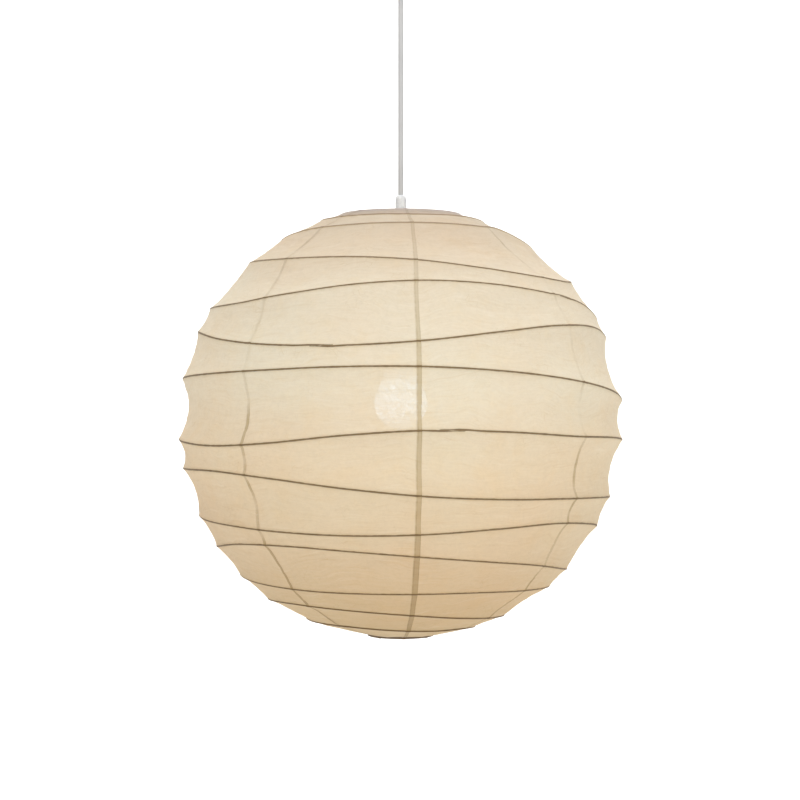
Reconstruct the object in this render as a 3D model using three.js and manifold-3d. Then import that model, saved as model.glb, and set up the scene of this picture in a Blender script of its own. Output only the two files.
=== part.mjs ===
// Round paper lantern: a ceiling pendant with a bamboo-ribbed paper shade.
// Millimetres, +Z up. The origin is on the ceiling, on the pendant's axis; -Y is the front.

import * as THREE from 'three';
import { mergeVertices } from 'three/addons/utils/BufferGeometryUtils.js';
import Module from 'manifold-3d';

const wasm = await Module();
wasm.setup();

// ---------------------------------------------------------------- driving dimensions

// Ceiling end
const CANOPY_R = 45;             // canopy cup, outside
const CANOPY_H = 50;
const CANOPY_WALL = 1.5;
const CANOPY_MOUTH_R = 7.6;
const BALL_R = 9;                // outlet ball that seats in the canopy's mouth
const BALL_Z = -43.2;            // its centre: the point about which the pendant leans
const SCREW_Z = -9;              // canopy screws

// Lead
const CORD_R = 3.0;
const CORD_SIDES = 10;

// Lantern levels
const RING_TOP_Z = -310;         // plane of the top ring
const CENTRE_Z = RING_TOP_Z - 232.8;
const RING_BOT_Z = CENTRE_Z - 241.6;
const RING_TOP_R = 67.3;         // wire centre
const RING_BOT_R = 35.6;
const RING_WIRE_R = 1.5;
const TOP_CREST = [67.95, 235.06];   // paper over the rings: [radius, height above centre]
const BOT_CREST = [35.94, -243.9];

// Body of revolution that the ribs lie on: distance from the lantern's centre against
// the angle from +Z, in degrees
const SHELL_ANGLE = [0, 16, 28, 38, 45, 60, 75, 90, 115, 130, 145, 155, 165, 172, 180];
const SHELL_RHO = [243.4, 243.4, 243.9, 246.0, 247.2, 249.6, 250.4, 250.9, 251.0, 251.0, 250.0, 246.8, 245.3, 246.2, 246.4];

// Paper
const PAPER_T = 0.45;
// Inward sag at mid-gap, as a share of the gap between ribs: the paper is slack round the waist and nearly
// straight near the two mouths. Angles are from the top, in degrees.
const SAG_ANGLE = [0, 45, 55, 65, 75, 85, 98, 106, 112, 123, 137, 150, 162, 180];
const PAPER_SAG = [0.025, 0.03, 0.035, 0.05, 0.08, 0.115, 0.13, 0.11, 0.08, 0.05, 0.025, 0.022, -0.008, -0.01];
const SEAMS = [-173.3, -129.0, -84.6, -42.0, 4.0, 51.4, 97.9, 142.3, 186.7];
const SEAM_GAP = 0.4;            // between the edges of two gores
const GORE_COLUMNS = 4;

// Bamboo rib: one left-handed helix, 13 turns, that waves up and down.
// Heights above the lantern's centre, every 20 degrees from RIB_START, anticlockwise from above.
const RIB_START = -173.3;
const RIB_STEP = 20;
const RIB_TURNS = 13;
const RIB_H = 2.2;               // along the shell
const RIB_T = 1.4;               // through the shell
const RIB_INSET = 2.8;           // rib centre under the paper's outer face
const SPLICES = [527, 830, 1137, 1420, 1670, 1950, 2172, 2420, 2690, 3000, 3350, 3740, 4140];
const LAP = 3;                   // half of a splice's overlap, degrees
const LAP_EASE = 4;
const LAP_SHIFT = 1.3;           // each strip's shift at a splice, so that the two lie side by side
const RIB_Z = [
  230.6, 230.0, 229.0, 227.9, 226.8, 226.0, 225.5, 225.9, 226.1, 225.8, 226.2, 226.8, 226.2, 224.7, 222.4, 219.4, 216.0, 212.6,
  209.9, 207.7, 205.8, 204.3, 203.7, 207.7, 211.0, 212.4, 213.8, 214.2, 214.0, 213.4, 213.2, 196.9, 190.9, 186.4, 184.6, 184.8,
  184.6, 182.6, 180.7, 180.0, 179.1, 177.0, 175.0, 173.9, 172.5, 168.3, 161.4, 155.4, 153.0, 156.9, 157.4, 155.5, 152.9, 150.9,
  148.0, 142.5, 135.9, 130.8, 127.7, 125.7, 126.7, 134.0, 142.1, 145.9, 143.8, 137.6, 129.5, 114.3, 108.4, 104.5, 103.9, 106.9,
  110.9, 112.6, 110.9, 107.2, 102.9, 97.0, 86.6, 79.3, 77.8, 82.8, 92.6, 101.3, 102.6, 93.6, 86.8, 78.8, 68.3, 59.6,
  56.8, 56.7, 54.0, 49.3, 47.4, 49.0, 51.1, 53.4, 55.8, 55.6, 51.3, 43.8, 33.9, 22.5, 15.5, 10.0, 7.6, 5.8,
  0.2, -8.0, -14.1, -16.6, -18.9, -22.7, -25.8, -22.2, -13.9, -8.8, -10.8, -15.5, -17.6, -21.4, -25.6, -31.1, -37.8, -44.3,
  -48.8, -50.7, -51.5, -52.3, -53.2, -52.8, -52.9, -59.0, -68.3, -76.1, -80.1, -81.4, -82.9, -85.2, -87.6, -91.1, -95.5, -99.2,
  -100.8, -100.7, -100.7, -102.2, -105.2, -108.2, -111.4, -115.2, -117.1, -115.5, -111.0, -107.8, -111.9, -119.0, -125.3, -130.1, -133.1, -135.3,
  -138.0, -141.1, -143.4, -143.9, -142.5, -138.0, -131.5, -130.4, -134.2, -139.9, -146.4, -153.3, -161.7, -167.6, -172.1, -175.3, -176.9, -176.3,
  -174.2, -171.8, -170.6, -171.0, -172.5, -174.8, -177.8, -180.2, -181.0, -181.1, -181.1, -182.7, -184.1, -185.8, -187.2, -188.4, -190.6, -194.4,
  -198.4, -200.6, -201.1, -200.9, -200.5, -199.3, -198.2, -200.1, -203.2, -207.3, -211.8, -215.1, -217.2, -218.5, -219.5, -220.9, -222.8, -223.8,
  -223.5, -222.5, -222.0, -222.3, -222.8, -223.2, -223.5, -224.4, -226.6, -228.5, -229.5, -229.1, -230.1, -231.5, -233.3, -235.1, -236.8, -238.1,
  -238.9
];

// Lampholder and lamp, heights from the top ring's plane
const TUBE_R = 5, TUBE_BORE_R = 3.5;
const HOLDER_R = 20;
const LAMP_CAP_R = 13.2;
const LAMP_R = 30;
const LAMP_CENTRE = -212;

// Stretcher
const BAR_W = 12, BAR_T = 1.5;
const BAR_TOP = RING_TOP_Z - 1.8;
const LEG_X = 58;                // pivot of each leg
const LEG_R = 1.5;
const LEG_FOOT_X = 31.8;

// ---------------------------------------------------------------- helpers

const rad = THREE.MathUtils.degToRad;

// position-only, merged, and wound so that the faces point out
function closed(geometry) {
  const g = geometry.clone();
  g.deleteAttribute('normal');
  g.deleteAttribute('uv');
  const m = mergeVertices(g, 1e-4);
  const p = m.attributes.position, ix = m.index.array;
  const keep = [];
  let volume = 0;
  const a = new THREE.Vector3(), b = new THREE.Vector3(), c = new THREE.Vector3();
  for (let i = 0; i < ix.length; i += 3) {
    if (ix[i] === ix[i + 1] || ix[i + 1] === ix[i + 2] || ix[i] === ix[i + 2]) continue;
    keep.push(ix[i], ix[i + 1], ix[i + 2]);
    a.fromBufferAttribute(p, ix[i]); b.fromBufferAttribute(p, ix[i + 1]); c.fromBufferAttribute(p, ix[i + 2]);
    volume += a.dot(b.cross(c));
  }
  if (volume < 0) for (let i = 0; i < keep.length; i += 3) [keep[i + 1], keep[i + 2]] = [keep[i + 2], keep[i + 1]];
  m.setIndex(keep);
  return m;
}

function solid(geometry) {
  const g = closed(geometry);
  return new wasm.Manifold(new wasm.Mesh({
    numProp: 3,
    vertProperties: new Float32Array(g.attributes.position.array),
    triVerts: new Uint32Array(g.index.array),
  }));
}

function fromSolid(manifold) {
  const mesh = manifold.getMesh();
  const g = new THREE.BufferGeometry();
  g.setAttribute('position', new THREE.BufferAttribute(new Float32Array(mesh.vertProperties), 3));
  g.setIndex(Array.from(mesh.triVerts));
  return g;
}

// a profile of [radius, height] turned about Z; it closes on itself unless both ends are on the axis
function turned(profile, segments = 24) {
  const pts = profile.map(([r, z]) => new THREE.Vector2(Math.max(r, 0), z));
  const first = profile[0], last = profile[profile.length - 1];
  if (!(first[0] === 0 && last[0] === 0)) pts.push(new THREE.Vector2(first[0], first[1]));
  return closed(new THREE.LatheGeometry(pts, segments).rotateX(Math.PI / 2));
}

function boxAt(x0, x1, y0, y1, z0, z1) {
  return new THREE.BoxGeometry(x1 - x0, y1 - y0, z1 - z0).translate((x0 + x1) / 2, (y0 + y1) / 2, (z0 + z1) / 2);
}

function rod(r, z0, z1, x = 0, y = 0, sides = 16) {
  return new THREE.CylinderGeometry(r, r, z1 - z0, sides).rotateX(Math.PI / 2).translate(x, y, (z0 + z1) / 2);
}

function rodX(r, x0, x1, y, z, sides = 12) {
  return new THREE.CylinderGeometry(r, r, x1 - x0, sides).rotateZ(Math.PI / 2).translate((x0 + x1) / 2, y, z);
}

function rodY(r, y0, y1, x, z, sides = 12) {
  return new THREE.CylinderGeometry(r, r, y1 - y0, sides).translate(x, (y0 + y1) / 2, z);
}

// a round section carried along a path
function drawn(points, r, sides, steps) {
  const section = new THREE.Shape();
  for (let i = 0; i < sides; i++) {
    const t = (i + 0.5) / sides * Math.PI * 2;
    if (i) section.lineTo(r * Math.cos(t), r * Math.sin(t)); else section.moveTo(r * Math.cos(t), r * Math.sin(t));
  }
  section.closePath();
  const v = points.map((p) => new THREE.Vector3(...p));
  const path = v.length === 2 ? new THREE.LineCurve3(v[0], v[1]) : new THREE.CatmullRomCurve3(v, false, 'centripetal');
  return closed(new THREE.ExtrudeGeometry(section, { steps, extrudePath: path }));
}

const lantern = new THREE.Group();
lantern.name = 'paper_lantern';

function add(name, geometry, colour, roughness = 0.6, metalness = 0, extra = {}) {
  const mesh = new THREE.Mesh(geometry, new THREE.MeshStandardMaterial({ color: colour, roughness, metalness, ...extra }));
  mesh.name = name;
  lantern.add(mesh);
  return mesh;
}

// ---------------------------------------------------------------- ceiling end

{
  let bracket = solid(boxAt(-38, 38, -9, 9, -2, 0));
  for (const s of [-1, 1]) {
    bracket = bracket.add(solid(boxAt(Math.min(s * 36, s * 38), Math.max(s * 36, s * 38), -9, 9, -15, -1)));
    bracket = bracket.subtract(solid(rodX(1.8, s > 0 ? 30 : -44, s > 0 ? 44 : -30, 0, SCREW_Z)));
    bracket = bracket.subtract(solid(boxAt(s * 25 - 5, s * 25 + 5, -2.3, 2.3, -4, 2)));   // slot for a ceiling screw
  }
  add('ceiling_bracket', fromSolid(bracket), 0xb9bcc0, 0.4, 0.9);

  const w = CANOPY_WALL;
  let canopy = solid(turned([
    [CANOPY_R, 0], [CANOPY_R, -27], [CANOPY_R - 2.2, -35], [CANOPY_R - 9, -42], [CANOPY_R - 21, -47.2], [CANOPY_R - 33, -CANOPY_H],
    [CANOPY_MOUTH_R, -CANOPY_H], [CANOPY_MOUTH_R, -CANOPY_H + w], [CANOPY_R - 33.3, -CANOPY_H + w], [CANOPY_R - 21.6, -47.2 + w],
    [CANOPY_R - 9.9, -42 + w], [CANOPY_R - 3.6, -35 + 0.7 * w], [CANOPY_R - w, -27], [CANOPY_R - w, 0],
  ], 24));
  for (const s of [-1, 1]) canopy = canopy.subtract(solid(rodX(1.9, s > 0 ? 40 : -50, s > 0 ? 50 : -40, 0, SCREW_Z)));
  add('ceiling_canopy', fromSolid(canopy), 0xf2f1ee, 0.45);

  for (const [name, s] of [['canopy_screw_left', -1], ['canopy_screw_right', 1]]) {
    const shank = rodX(1.45, s > 0 ? 34.5 : -46, s > 0 ? 46 : -34.5, 0, SCREW_Z);
    let screw = solid(shank).add(solid(rodX(3.2, s > 0 ? 45.4 : -47.4, s > 0 ? 47.4 : -45.4, 0, SCREW_Z, 16)));
    screw = screw.subtract(solid(boxAt(s > 0 ? 46.6 : -48, s > 0 ? 48 : -46.6, -0.4, 0.4, SCREW_Z - 4, SCREW_Z + 4)));
    add(name, fromSolid(screw), 0xc9ccd0, 0.3, 0.9);
  }

  let block = solid(boxAt(-27, -7, -6, 6, -14, -2.3));
  for (const y of [-2.9, 2.9]) block = block.subtract(solid(rod(1.6, -20, -9, -19, y, 10)));
  add('terminal_block', fromSolid(block), 0xe8e4d8, 0.5);

  add('lead_tail', drawn([[0, 0, BALL_Z + 0.7], [0, 0, BALL_Z + 11], [-3, 0, BALL_Z + 17], [-11, 0, -22.5], [-17, 0, -20], [-19, 0, -17], [-19, 0, -14.6]], CORD_R - 0.1, CORD_SIDES, 12), 0xdedddb, 0.5);

  // a ball with a bore, flared at both ends so that the lead can lean
  const flare = 3.4 + BALL_R * Math.tan(rad(17));
  const rim = Math.acos(flare / BALL_R);
  const ball = [];
  for (let i = 0; i <= 6; i++) {
    const a = -rim + (2 * rim * i) / 6;
    ball.push([BALL_R * Math.cos(a), BALL_Z + BALL_R * Math.sin(a)]);
  }
  ball.push([3.4, BALL_Z]);
  add('outlet_ball', turned(ball, 16), 0xf0efec, 0.4);
}

// ---------------------------------------------------------------- lead, grip, tube

const T = RING_TOP_Z;

add('lead', drawn([[0, 0, T + 4.7], [0, 0, BALL_Z - 0.7]], CORD_R, CORD_SIDES, 17), 0xd9d8d6, 0.5);

{
  let grip = solid(turned([
    [3.5, T + 23.4], [4.3, T + 23.4], [5.3, T + 22.6], [6.0, T + 20.9], [6.35, T + 18.4], [6.35, T - 1.5],
    [5.4, T - 1.5], [5.4, T + 5.2], [3.5, T + 5.2],
  ], 16));
  grip = grip.subtract(solid(rodY(1.75, 2, 12, 0, T + 8.6)));
  add('cord_grip', fromSolid(grip), 0xeef0ee, 0.35, 0, { transparent: true, opacity: 0.8 });
  add('grip_screw', fromSolid(solid(rodY(1.4, 3.5, 8, 0, T + 8.6)).add(solid(rodY(2.4, 6.6, 8.6, 0, T + 8.6)))), 0xf2f2ef, 0.4);
}

add('threaded_tube', turned([[TUBE_R, T + 4], [TUBE_R, T - 107], [TUBE_BORE_R, T - 107], [TUBE_BORE_R, T + 4]], 16), 0xc7c3b4, 0.35, 0.9);
add('lead_inner', drawn([[0, 0, T - 109.5], [0, 0, T + 4.3]], CORD_R, 8, 4), 0xd9d8d6, 0.5);

function nut(z0, z1, flats) {
  return fromSolid(solid(rod(flats / Math.sqrt(3), z0, z1, 0, 0, 6)).subtract(solid(rod(5.4, z0 - 1, z1 + 1, 0, 0, 16))));
}
add('lock_nut', nut(T - 7.6, T - 3.6, 14), 0xc7c3b4, 0.35, 0.9);

// ---------------------------------------------------------------- lampholder

add('holder_cap', turned([
  [5.4, T - 98], [8.5, T - 98], [13, T - 99.6], [17.4, T - 103.6], [19.6, T - 109], [HOLDER_R, T - 114], [HOLDER_R, T - 122],
  [18, T - 122], [18, T - 114], [17.4, T - 109.6], [15.6, T - 105.4], [12, T - 102.2], [8.5, T - 101.2], [5.4, T - 101.2],
], 20), 0xf1f0ec, 0.35);
add('holder_nut', nut(T - 105.1, T - 101.6, 13), 0xc7c3b4, 0.35, 0.9);
add('holder_insert', fromSolid(solid(turned([[0, T - 113], [15.6, T - 113], [17.3, T - 114.6], [17.3, T - 126.6], [0, T - 126.6]], 24))
  .subtract(solid(rod(2, T - 114.5, T - 112, 9, 0, 8))).subtract(solid(rod(2, T - 114.5, T - 112, -9, 0, 8)))), 0xece7da, 0.6);
{
  const shell = [
    [HOLDER_R, T - 122.4], [HOLDER_R, T - 158], [19, T - 163], [14.8, T - 163], [14.4, T - 162.4], [14.4, T - 127],
    [18, T - 127], [18, T - 122.4],
  ];
  add('holder_shell', turned(shell, 20), 0xf1f0ec, 0.35);
}
add('holder_centre_contact', turned([[0, T - 127.0], [5, T - 127.0], [5, T - 128], [2.6, T - 129.5], [2.6, T - 133.9], [0, T - 133.9]], 12), 0xc9a24a, 0.35, 0.95);
add('holder_side_contact', closed(boxAt(13.5, 13.94, -1.5, 1.5, T - 140, T - 127.1)), 0xc9a24a, 0.35, 0.95);

// ---------------------------------------------------------------- lamp

add('lamp_centre_contact', turned([[0, T - 134.3], [3.4, T - 134.3], [4.6, T - 134.8], [4.6, T - 135.4], [0, T - 135.4]], 16), 0xb9bcc0, 0.3, 0.9);
add('lamp_insulator', turned([[0, T - 135.7], [5.4, T - 135.7], [11.6, T - 138.4], [11.6, T - 139.2], [0, T - 139.2]], 20), 0x2a2a2c, 0.3);
add('lamp_cap', turned([
  [12.2, T - 139.5], [LAMP_CAP_R, T - 140.6], [LAMP_CAP_R, T - 163.1], [12.5, T - 163.1], [12.5, T - 141.0], [11.4, T - 140.1],
], 24), 0xc3c6ca, 0.25, 0.95);
add('lamp_driver', closed(boxAt(-8, 8, -0.8, 0.8, T - 188, T - 146)), 0x2f7a3c, 0.5);
add('lamp_housing', turned([
  [13.5, T - 163.4], [14.6, T - 168], [18.1, T - 178], [22.1, T - 188], [25.1, T - 196],
  [23.7, T - 196], [20.7, T - 188.3], [16.7, T - 178.4], [13.2, T - 168.4], [12.1, T - 163.4],
], 20), 0xf3f3f1, 0.4);
add('lamp_led_board', turned([[0, T - 192.6], [21.6, T - 192.6], [21.6, T - 194.2], [0, T - 194.2]], 20), 0xf6f4ea, 0.5);
{
  const outer = [], inner = [];
  const z0 = 196.3 + LAMP_CENTRE;                    // open edge above the globe's centre, negative downwards
  const aTop = Math.asin(-z0 / LAMP_R), bTop = Math.asin(-z0 / (LAMP_R - 1.3));
  for (let i = 0; i <= 7; i++) {
    const a = aTop - (aTop + Math.PI / 2) * (i / 7);
    outer.push([i === 7 ? 0 : LAMP_R * Math.cos(a), T + LAMP_CENTRE + LAMP_R * Math.sin(a)]);
    const b = bTop - (bTop + Math.PI / 2) * (i / 7);
    inner.push([i === 7 ? 0 : (LAMP_R - 1.3) * Math.cos(b), T + LAMP_CENTRE + (LAMP_R - 1.3) * Math.sin(b)]);
  }
  // from the axis outside, up to the open edge, and back down the inside to the axis
  add('lamp_diffuser', turned([...outer.reverse(), ...inner], 20), 0xfffaf0, 0.5, 0, { emissive: 0xffe8c0, emissiveIntensity: 0.6 });
}

// ---------------------------------------------------------------- stretcher

{
  let bar = solid(boxAt(-69, 69, -BAR_W / 2, BAR_W / 2, BAR_TOP - BAR_T, BAR_TOP));
  for (const s of [-1, 1]) {
    bar = bar.add(solid(boxAt(Math.min(s * 63.2, s * 64.7), Math.max(s * 63.2, s * 64.7), -4, 4, BAR_TOP - 0.7, BAR_TOP + 4.2)));   // tab just inside the ring
    bar = bar.subtract(solid(rod(2.2, BAR_TOP - 4, BAR_TOP + 3, s * LEG_X, 0, 16)));
  }
  bar = bar.subtract(solid(rod(5.3, BAR_TOP - 4, BAR_TOP + 3, 0, 0, 20)));
  add('stretcher_bar', fromSolid(bar), 0xb9bcc0, 0.35, 0.9);
}
for (const [name, s] of [['stretcher_leg_left', -1], ['stretcher_leg_right', 1]]) {
  const wire = drawn([
    [s * LEG_X, 0, T + 0.1], [s * LEG_X, 0, T - 5], [s * (LEG_X - 0.2), 0, T - 14], [s * (LEG_X - 3.5), 0, T - 70],
    [s * (LEG_FOOT_X + 4.4), 0, RING_BOT_Z + 70], [s * (LEG_FOOT_X + 0.3), 0, RING_BOT_Z + 12], [s * LEG_FOOT_X, 0, RING_BOT_Z + 2], [s * LEG_FOOT_X, 0, RING_BOT_Z - 1.3],
  ], LEG_R, 6, 16);
  let leg = solid(wire);
  leg = leg.add(solid(rod(3.2, T - 1.4, T + 0.4, s * LEG_X, 0, 10)));          // formed head above the bar
  leg = leg.add(solid(rod(3.2, T - 5.4, T - 3.7, s * LEG_X, 0, 10)));          // collar below the bar
  const x0 = LEG_FOOT_X - 2.2, x1 = 38.0;
  leg = leg.add(solid(boxAt(Math.min(s * x0, s * x1), Math.max(s * x0, s * x1), -5, 5, RING_BOT_Z + 1.9, RING_BOT_Z + 3.9)));   // foot on the ring
  add(name, fromSolid(leg), 0xb9bcc0, 0.35, 0.9);
}

// ---------------------------------------------------------------- rings

add('top_ring', closed(new THREE.TorusGeometry(RING_TOP_R, RING_WIRE_R, 6, 36).translate(0, 0, RING_TOP_Z)), 0xaeb1b5, 0.4, 0.9);
add('bottom_ring', closed(new THREE.TorusGeometry(RING_BOT_R, RING_WIRE_R, 6, 24).translate(0, 0, RING_BOT_Z)), 0xaeb1b5, 0.4, 0.9);

// ---------------------------------------------------------------- shell, rib and paper

function lookUp(at, values, x) {
  let i = 0;
  while (i < at.length - 2 && x > at[i + 1]) i++;
  return values[i] + ((values[i + 1] - values[i]) * (x - at[i])) / (at[i + 1] - at[i]);
}
const rho = (angle) => lookUp(SHELL_ANGLE, SHELL_RHO, angle);

// [radius, height] on the shell at a height above the lantern's centre
function shellAt(z) {
  let r = 250;
  for (let i = 0; i < 6; i++) r = rho(THREE.MathUtils.radToDeg(Math.acos(z / r)));
  return [Math.sqrt(r * r - z * z), z];
}

// rib height at a helix angle counted on from RIB_START
function ribHeight(phi) {
  const u = (phi - RIB_START) / RIB_STEP;
  const n = RIB_Z.length, i = Math.min(Math.max(Math.floor(u), 0), n - 2), t = u - i;
  const at = (k) => RIB_Z[Math.min(Math.max(k, 0), n - 1)];
  const [a, b, c, d] = [at(i - 1), at(i), at(i + 1), at(i + 2)];
  return 0.5 * (2 * b + (c - a) * t + (2 * a - 5 * b + 4 * c - d) * t * t + (3 * b - a - 3 * c + d) * t * t * t);
}

// every column of the paper, as an angle in the first turn
const COLUMNS = [];
for (let g = 0; g < SEAMS.length - 1; g++)
  for (let j = 0; j < GORE_COLUMNS; j++) COLUMNS.push(SEAMS[g] + ((SEAMS[g + 1] - SEAMS[g]) * j) / GORE_COLUMNS);
COLUMNS.push(SEAMS[SEAMS.length - 1]);

// a point under the paper: the crest at a column, moved towards the lantern's centre by inset
function crestPoint(phi, inset) {
  const [r, z] = shellAt(ribHeight(phi));
  const k = 1 - inset / Math.hypot(r, z);
  const a = rad(phi);
  return new THREE.Vector3(r * k * Math.sin(a), -r * k * Math.cos(a), z * k);
}

// between two columns a strip runs straight, as the paper does
function stripPoint(phi, inset) {
  const turn = Math.min(Math.floor((phi - RIB_START) / 360), RIB_TURNS - 1);
  const local = phi - 360 * turn;
  let i = 0;
  while (i < COLUMNS.length - 2 && local > COLUMNS[i + 1]) i++;
  const t = (local - COLUMNS[i]) / (COLUMNS[i + 1] - COLUMNS[i]);
  return crestPoint(COLUMNS[i] + 360 * turn, inset).lerp(crestPoint(COLUMNS[i + 1] + 360 * turn, inset), Math.min(Math.max(t, 0), 1));
}

const RIB_END = RIB_START + 360 * RIB_TURNS;
const STARTS = [RIB_START + 0.6, ...SPLICES.map((s) => s - LAP)];
const ENDS = [...SPLICES.map((s) => s + LAP), RIB_END - 0.6];

for (let s = 0; s < STARTS.length; s++) {
  const from = STARTS[s], to = ENDS[s];
  const stops = new Set([from, to]);
  if (s > 0) { stops.add(from + 2 * LAP); stops.add(from + 2 * LAP + LAP_EASE); }
  if (s < STARTS.length - 1) { stops.add(to - 2 * LAP); stops.add(to - 2 * LAP - LAP_EASE); }
  for (let turn = 0; turn < RIB_TURNS; turn++)
    for (let c = 0; c < COLUMNS.length - 1; c++) {
      const phi = COLUMNS[c] + 360 * turn;
      if (phi > from + 0.8 && phi < to - 0.8) stops.add(phi);
    }
  const phis = [...stops].sort((a, b) => a - b).filter((p, i, all) => i === 0 || i === all.length - 1 || p - all[i - 1] > 0.35);
  const shift = (phi) => {
    let d = 0;
    if (s > 0) d -= LAP_SHIFT * (1 - THREE.MathUtils.clamp((phi - from - 2 * LAP) / LAP_EASE, 0, 1));
    if (s < STARTS.length - 1) d += LAP_SHIFT * (1 - THREE.MathUtils.clamp((to - 2 * LAP - phi) / LAP_EASE, 0, 1));
    return d;
  };
  const strip = new THREE.BoxGeometry(1, 1, 1, 1, 1, phis.length - 1);
  const p = strip.attributes.position;
  for (let i = 0; i < p.count; i++) {
    const k = Math.round((p.getZ(i) + 0.5) * (phis.length - 1));
    const q = stripPoint(phis[k], RIB_INSET);
    const out = q.clone().normalize();
    const flat = Math.hypot(out.x, out.y);
    const up = new THREE.Vector3((-out.x * out.z) / flat, (-out.y * out.z) / flat, flat);
    q.addScaledVector(out, p.getX(i) * RIB_T).addScaledVector(up, p.getY(i) * RIB_H + shift(phis[k]));
    p.setXYZ(i, q.x, q.y, q.z + CENTRE_Z);
  }
  add('rib_strip_' + String(s + 1).padStart(2, '0'), closed(strip), 0x8a7048, 0.6);
}

// one gore of paper between two seams, from over the top ring to under the bottom ring
function rowsAt(phi) {
  const crests = [TOP_CREST];
  for (let k = 0; k < RIB_TURNS; k++) crests.push(shellAt(ribHeight(phi + 360 * k)));
  crests.push(BOT_CREST);
  const rows = [[TOP_CREST[0] - 2.1, TOP_CREST[1] + 0.6]];
  for (let k = 0; k < crests.length; k++) {
    rows.push(crests[k]);
    if (k === crests.length - 1) break;
    const [a, b] = [crests[k], crests[k + 1]];
    const dr = b[0] - a[0], dz = b[1] - a[1], gap = Math.hypot(dr, dz);
    // inward is to the right of the way down
    const mr = (a[0] + b[0]) / 2, mz = (a[1] + b[1]) / 2;
    const sag = lookUp(SAG_ANGLE, PAPER_SAG, THREE.MathUtils.radToDeg(Math.atan2(mr, mz)));
    rows.push([mr + dz * sag, mz - dr * sag]);
  }
  rows.push([BOT_CREST[0] - 1.2, BOT_CREST[1] - 0.15]);
  return rows;
}

const ROWS = rowsAt(SEAMS[0]).length;

for (let g = 0; g < SEAMS.length - 1; g++) {
  const paper = new THREE.BoxGeometry(1, 1, 1, GORE_COLUMNS, ROWS - 1, 1);
  const p = paper.attributes.position;
  const table = [];
  for (let j = 0; j <= GORE_COLUMNS; j++) {
    // at the last seam the columns of the next gore start one turn later, so each gore uses its own side
    table.push(rowsAt(SEAMS[g] + ((SEAMS[g + 1] - SEAMS[g]) * j) / GORE_COLUMNS - (j === GORE_COLUMNS && g === SEAMS.length - 2 ? 1e-6 : 0)));
  }
  for (let i = 0; i < p.count; i++) {
    const j = Math.round((p.getX(i) + 0.5) * GORE_COLUMNS);
    const row = Math.round((0.5 - p.getY(i)) * (ROWS - 1));
    let [r, z] = table[j][row];
    if (p.getZ(i) < 0) { const d = Math.hypot(r, z); r -= (PAPER_T * r) / d; z -= (PAPER_T * z) / d; }
    let a = rad(SEAMS[g] + ((SEAMS[g + 1] - SEAMS[g]) * j) / GORE_COLUMNS);
    if (j === 0) a += SEAM_GAP / 2 / r;
    if (j === GORE_COLUMNS) a -= SEAM_GAP / 2 / r;
    p.setXYZ(i, r * Math.sin(a), -r * Math.cos(a), z + CENTRE_Z);
  }
  add('paper_gore_' + (g + 1), closed(paper), 0xe6d6b8, 0.85);
}

export default lantern;
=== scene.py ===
"""Round paper lantern: the looks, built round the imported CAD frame. Metres, +Z up, -Y is the front."""
import math

import bpy
import numpy as np
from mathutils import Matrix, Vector


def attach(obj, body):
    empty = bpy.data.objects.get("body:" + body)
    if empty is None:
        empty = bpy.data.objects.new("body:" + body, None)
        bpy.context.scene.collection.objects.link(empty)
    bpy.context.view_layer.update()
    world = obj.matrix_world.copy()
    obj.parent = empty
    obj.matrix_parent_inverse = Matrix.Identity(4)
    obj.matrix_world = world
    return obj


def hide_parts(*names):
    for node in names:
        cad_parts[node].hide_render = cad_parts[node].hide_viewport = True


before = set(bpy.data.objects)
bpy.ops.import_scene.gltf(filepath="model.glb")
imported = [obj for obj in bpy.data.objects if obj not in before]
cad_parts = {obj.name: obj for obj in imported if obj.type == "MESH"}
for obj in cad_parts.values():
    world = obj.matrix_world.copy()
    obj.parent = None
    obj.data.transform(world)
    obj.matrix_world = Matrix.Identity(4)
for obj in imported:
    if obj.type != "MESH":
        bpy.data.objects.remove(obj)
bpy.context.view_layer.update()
scene = bpy.context.scene
scene.view_settings.view_transform = "Standard"
MM = 0.001

# ------------------------------------------------------------------ levels (mm), as in the CAD model
RING_TOP_Z = -310.0
CENTRE_Z = RING_TOP_Z - 232.8
RING_BOT_Z = CENTRE_Z - 241.6
RING_TOP_R, RING_BOT_R, RING_WIRE_R = 67.3, 35.6, 1.5
BALL_Z, BALL_R = -43.2, 9.0
SHELL_ANGLE = np.array([0, 16, 28, 38, 45, 60, 75, 90, 115, 130, 145, 155, 165, 172, 180.0])
SHELL_RHO = np.array([243.4, 243.4, 243.9, 246.0, 247.2, 249.6, 250.4, 250.9, 251.0, 251.0, 250.0, 246.8, 245.3, 246.2, 246.4])
SAG_ANGLE = np.array([0, 45, 55, 65, 75, 85, 98, 106, 112, 123, 137, 150, 162, 180.0])
PAPER_SAG = np.array([0.025, 0.03, 0.035, 0.05, 0.08, 0.115, 0.13, 0.11, 0.08, 0.05, 0.025, 0.022, -0.008, -0.01])
SEAMS = [-173.3, -129.0, -84.6, -42.0, 4.0, 51.4, 97.9, 142.3, 186.7]
RIB_START, RIB_STEP, RIB_TURNS = -173.3, 20.0, 13
SPLICES = [527, 830, 1137, 1420, 1670, 1950, 2172, 2420, 2690, 3000, 3350, 3740, 4140]
SIDES = [1, -1, 1, 1, -1, 1, -1, 1, -1, 1, 1, -1, 1]
LAP, LAP_EASE, LAP_SHIFT = 3.0, 4.0, 0.72
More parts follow.
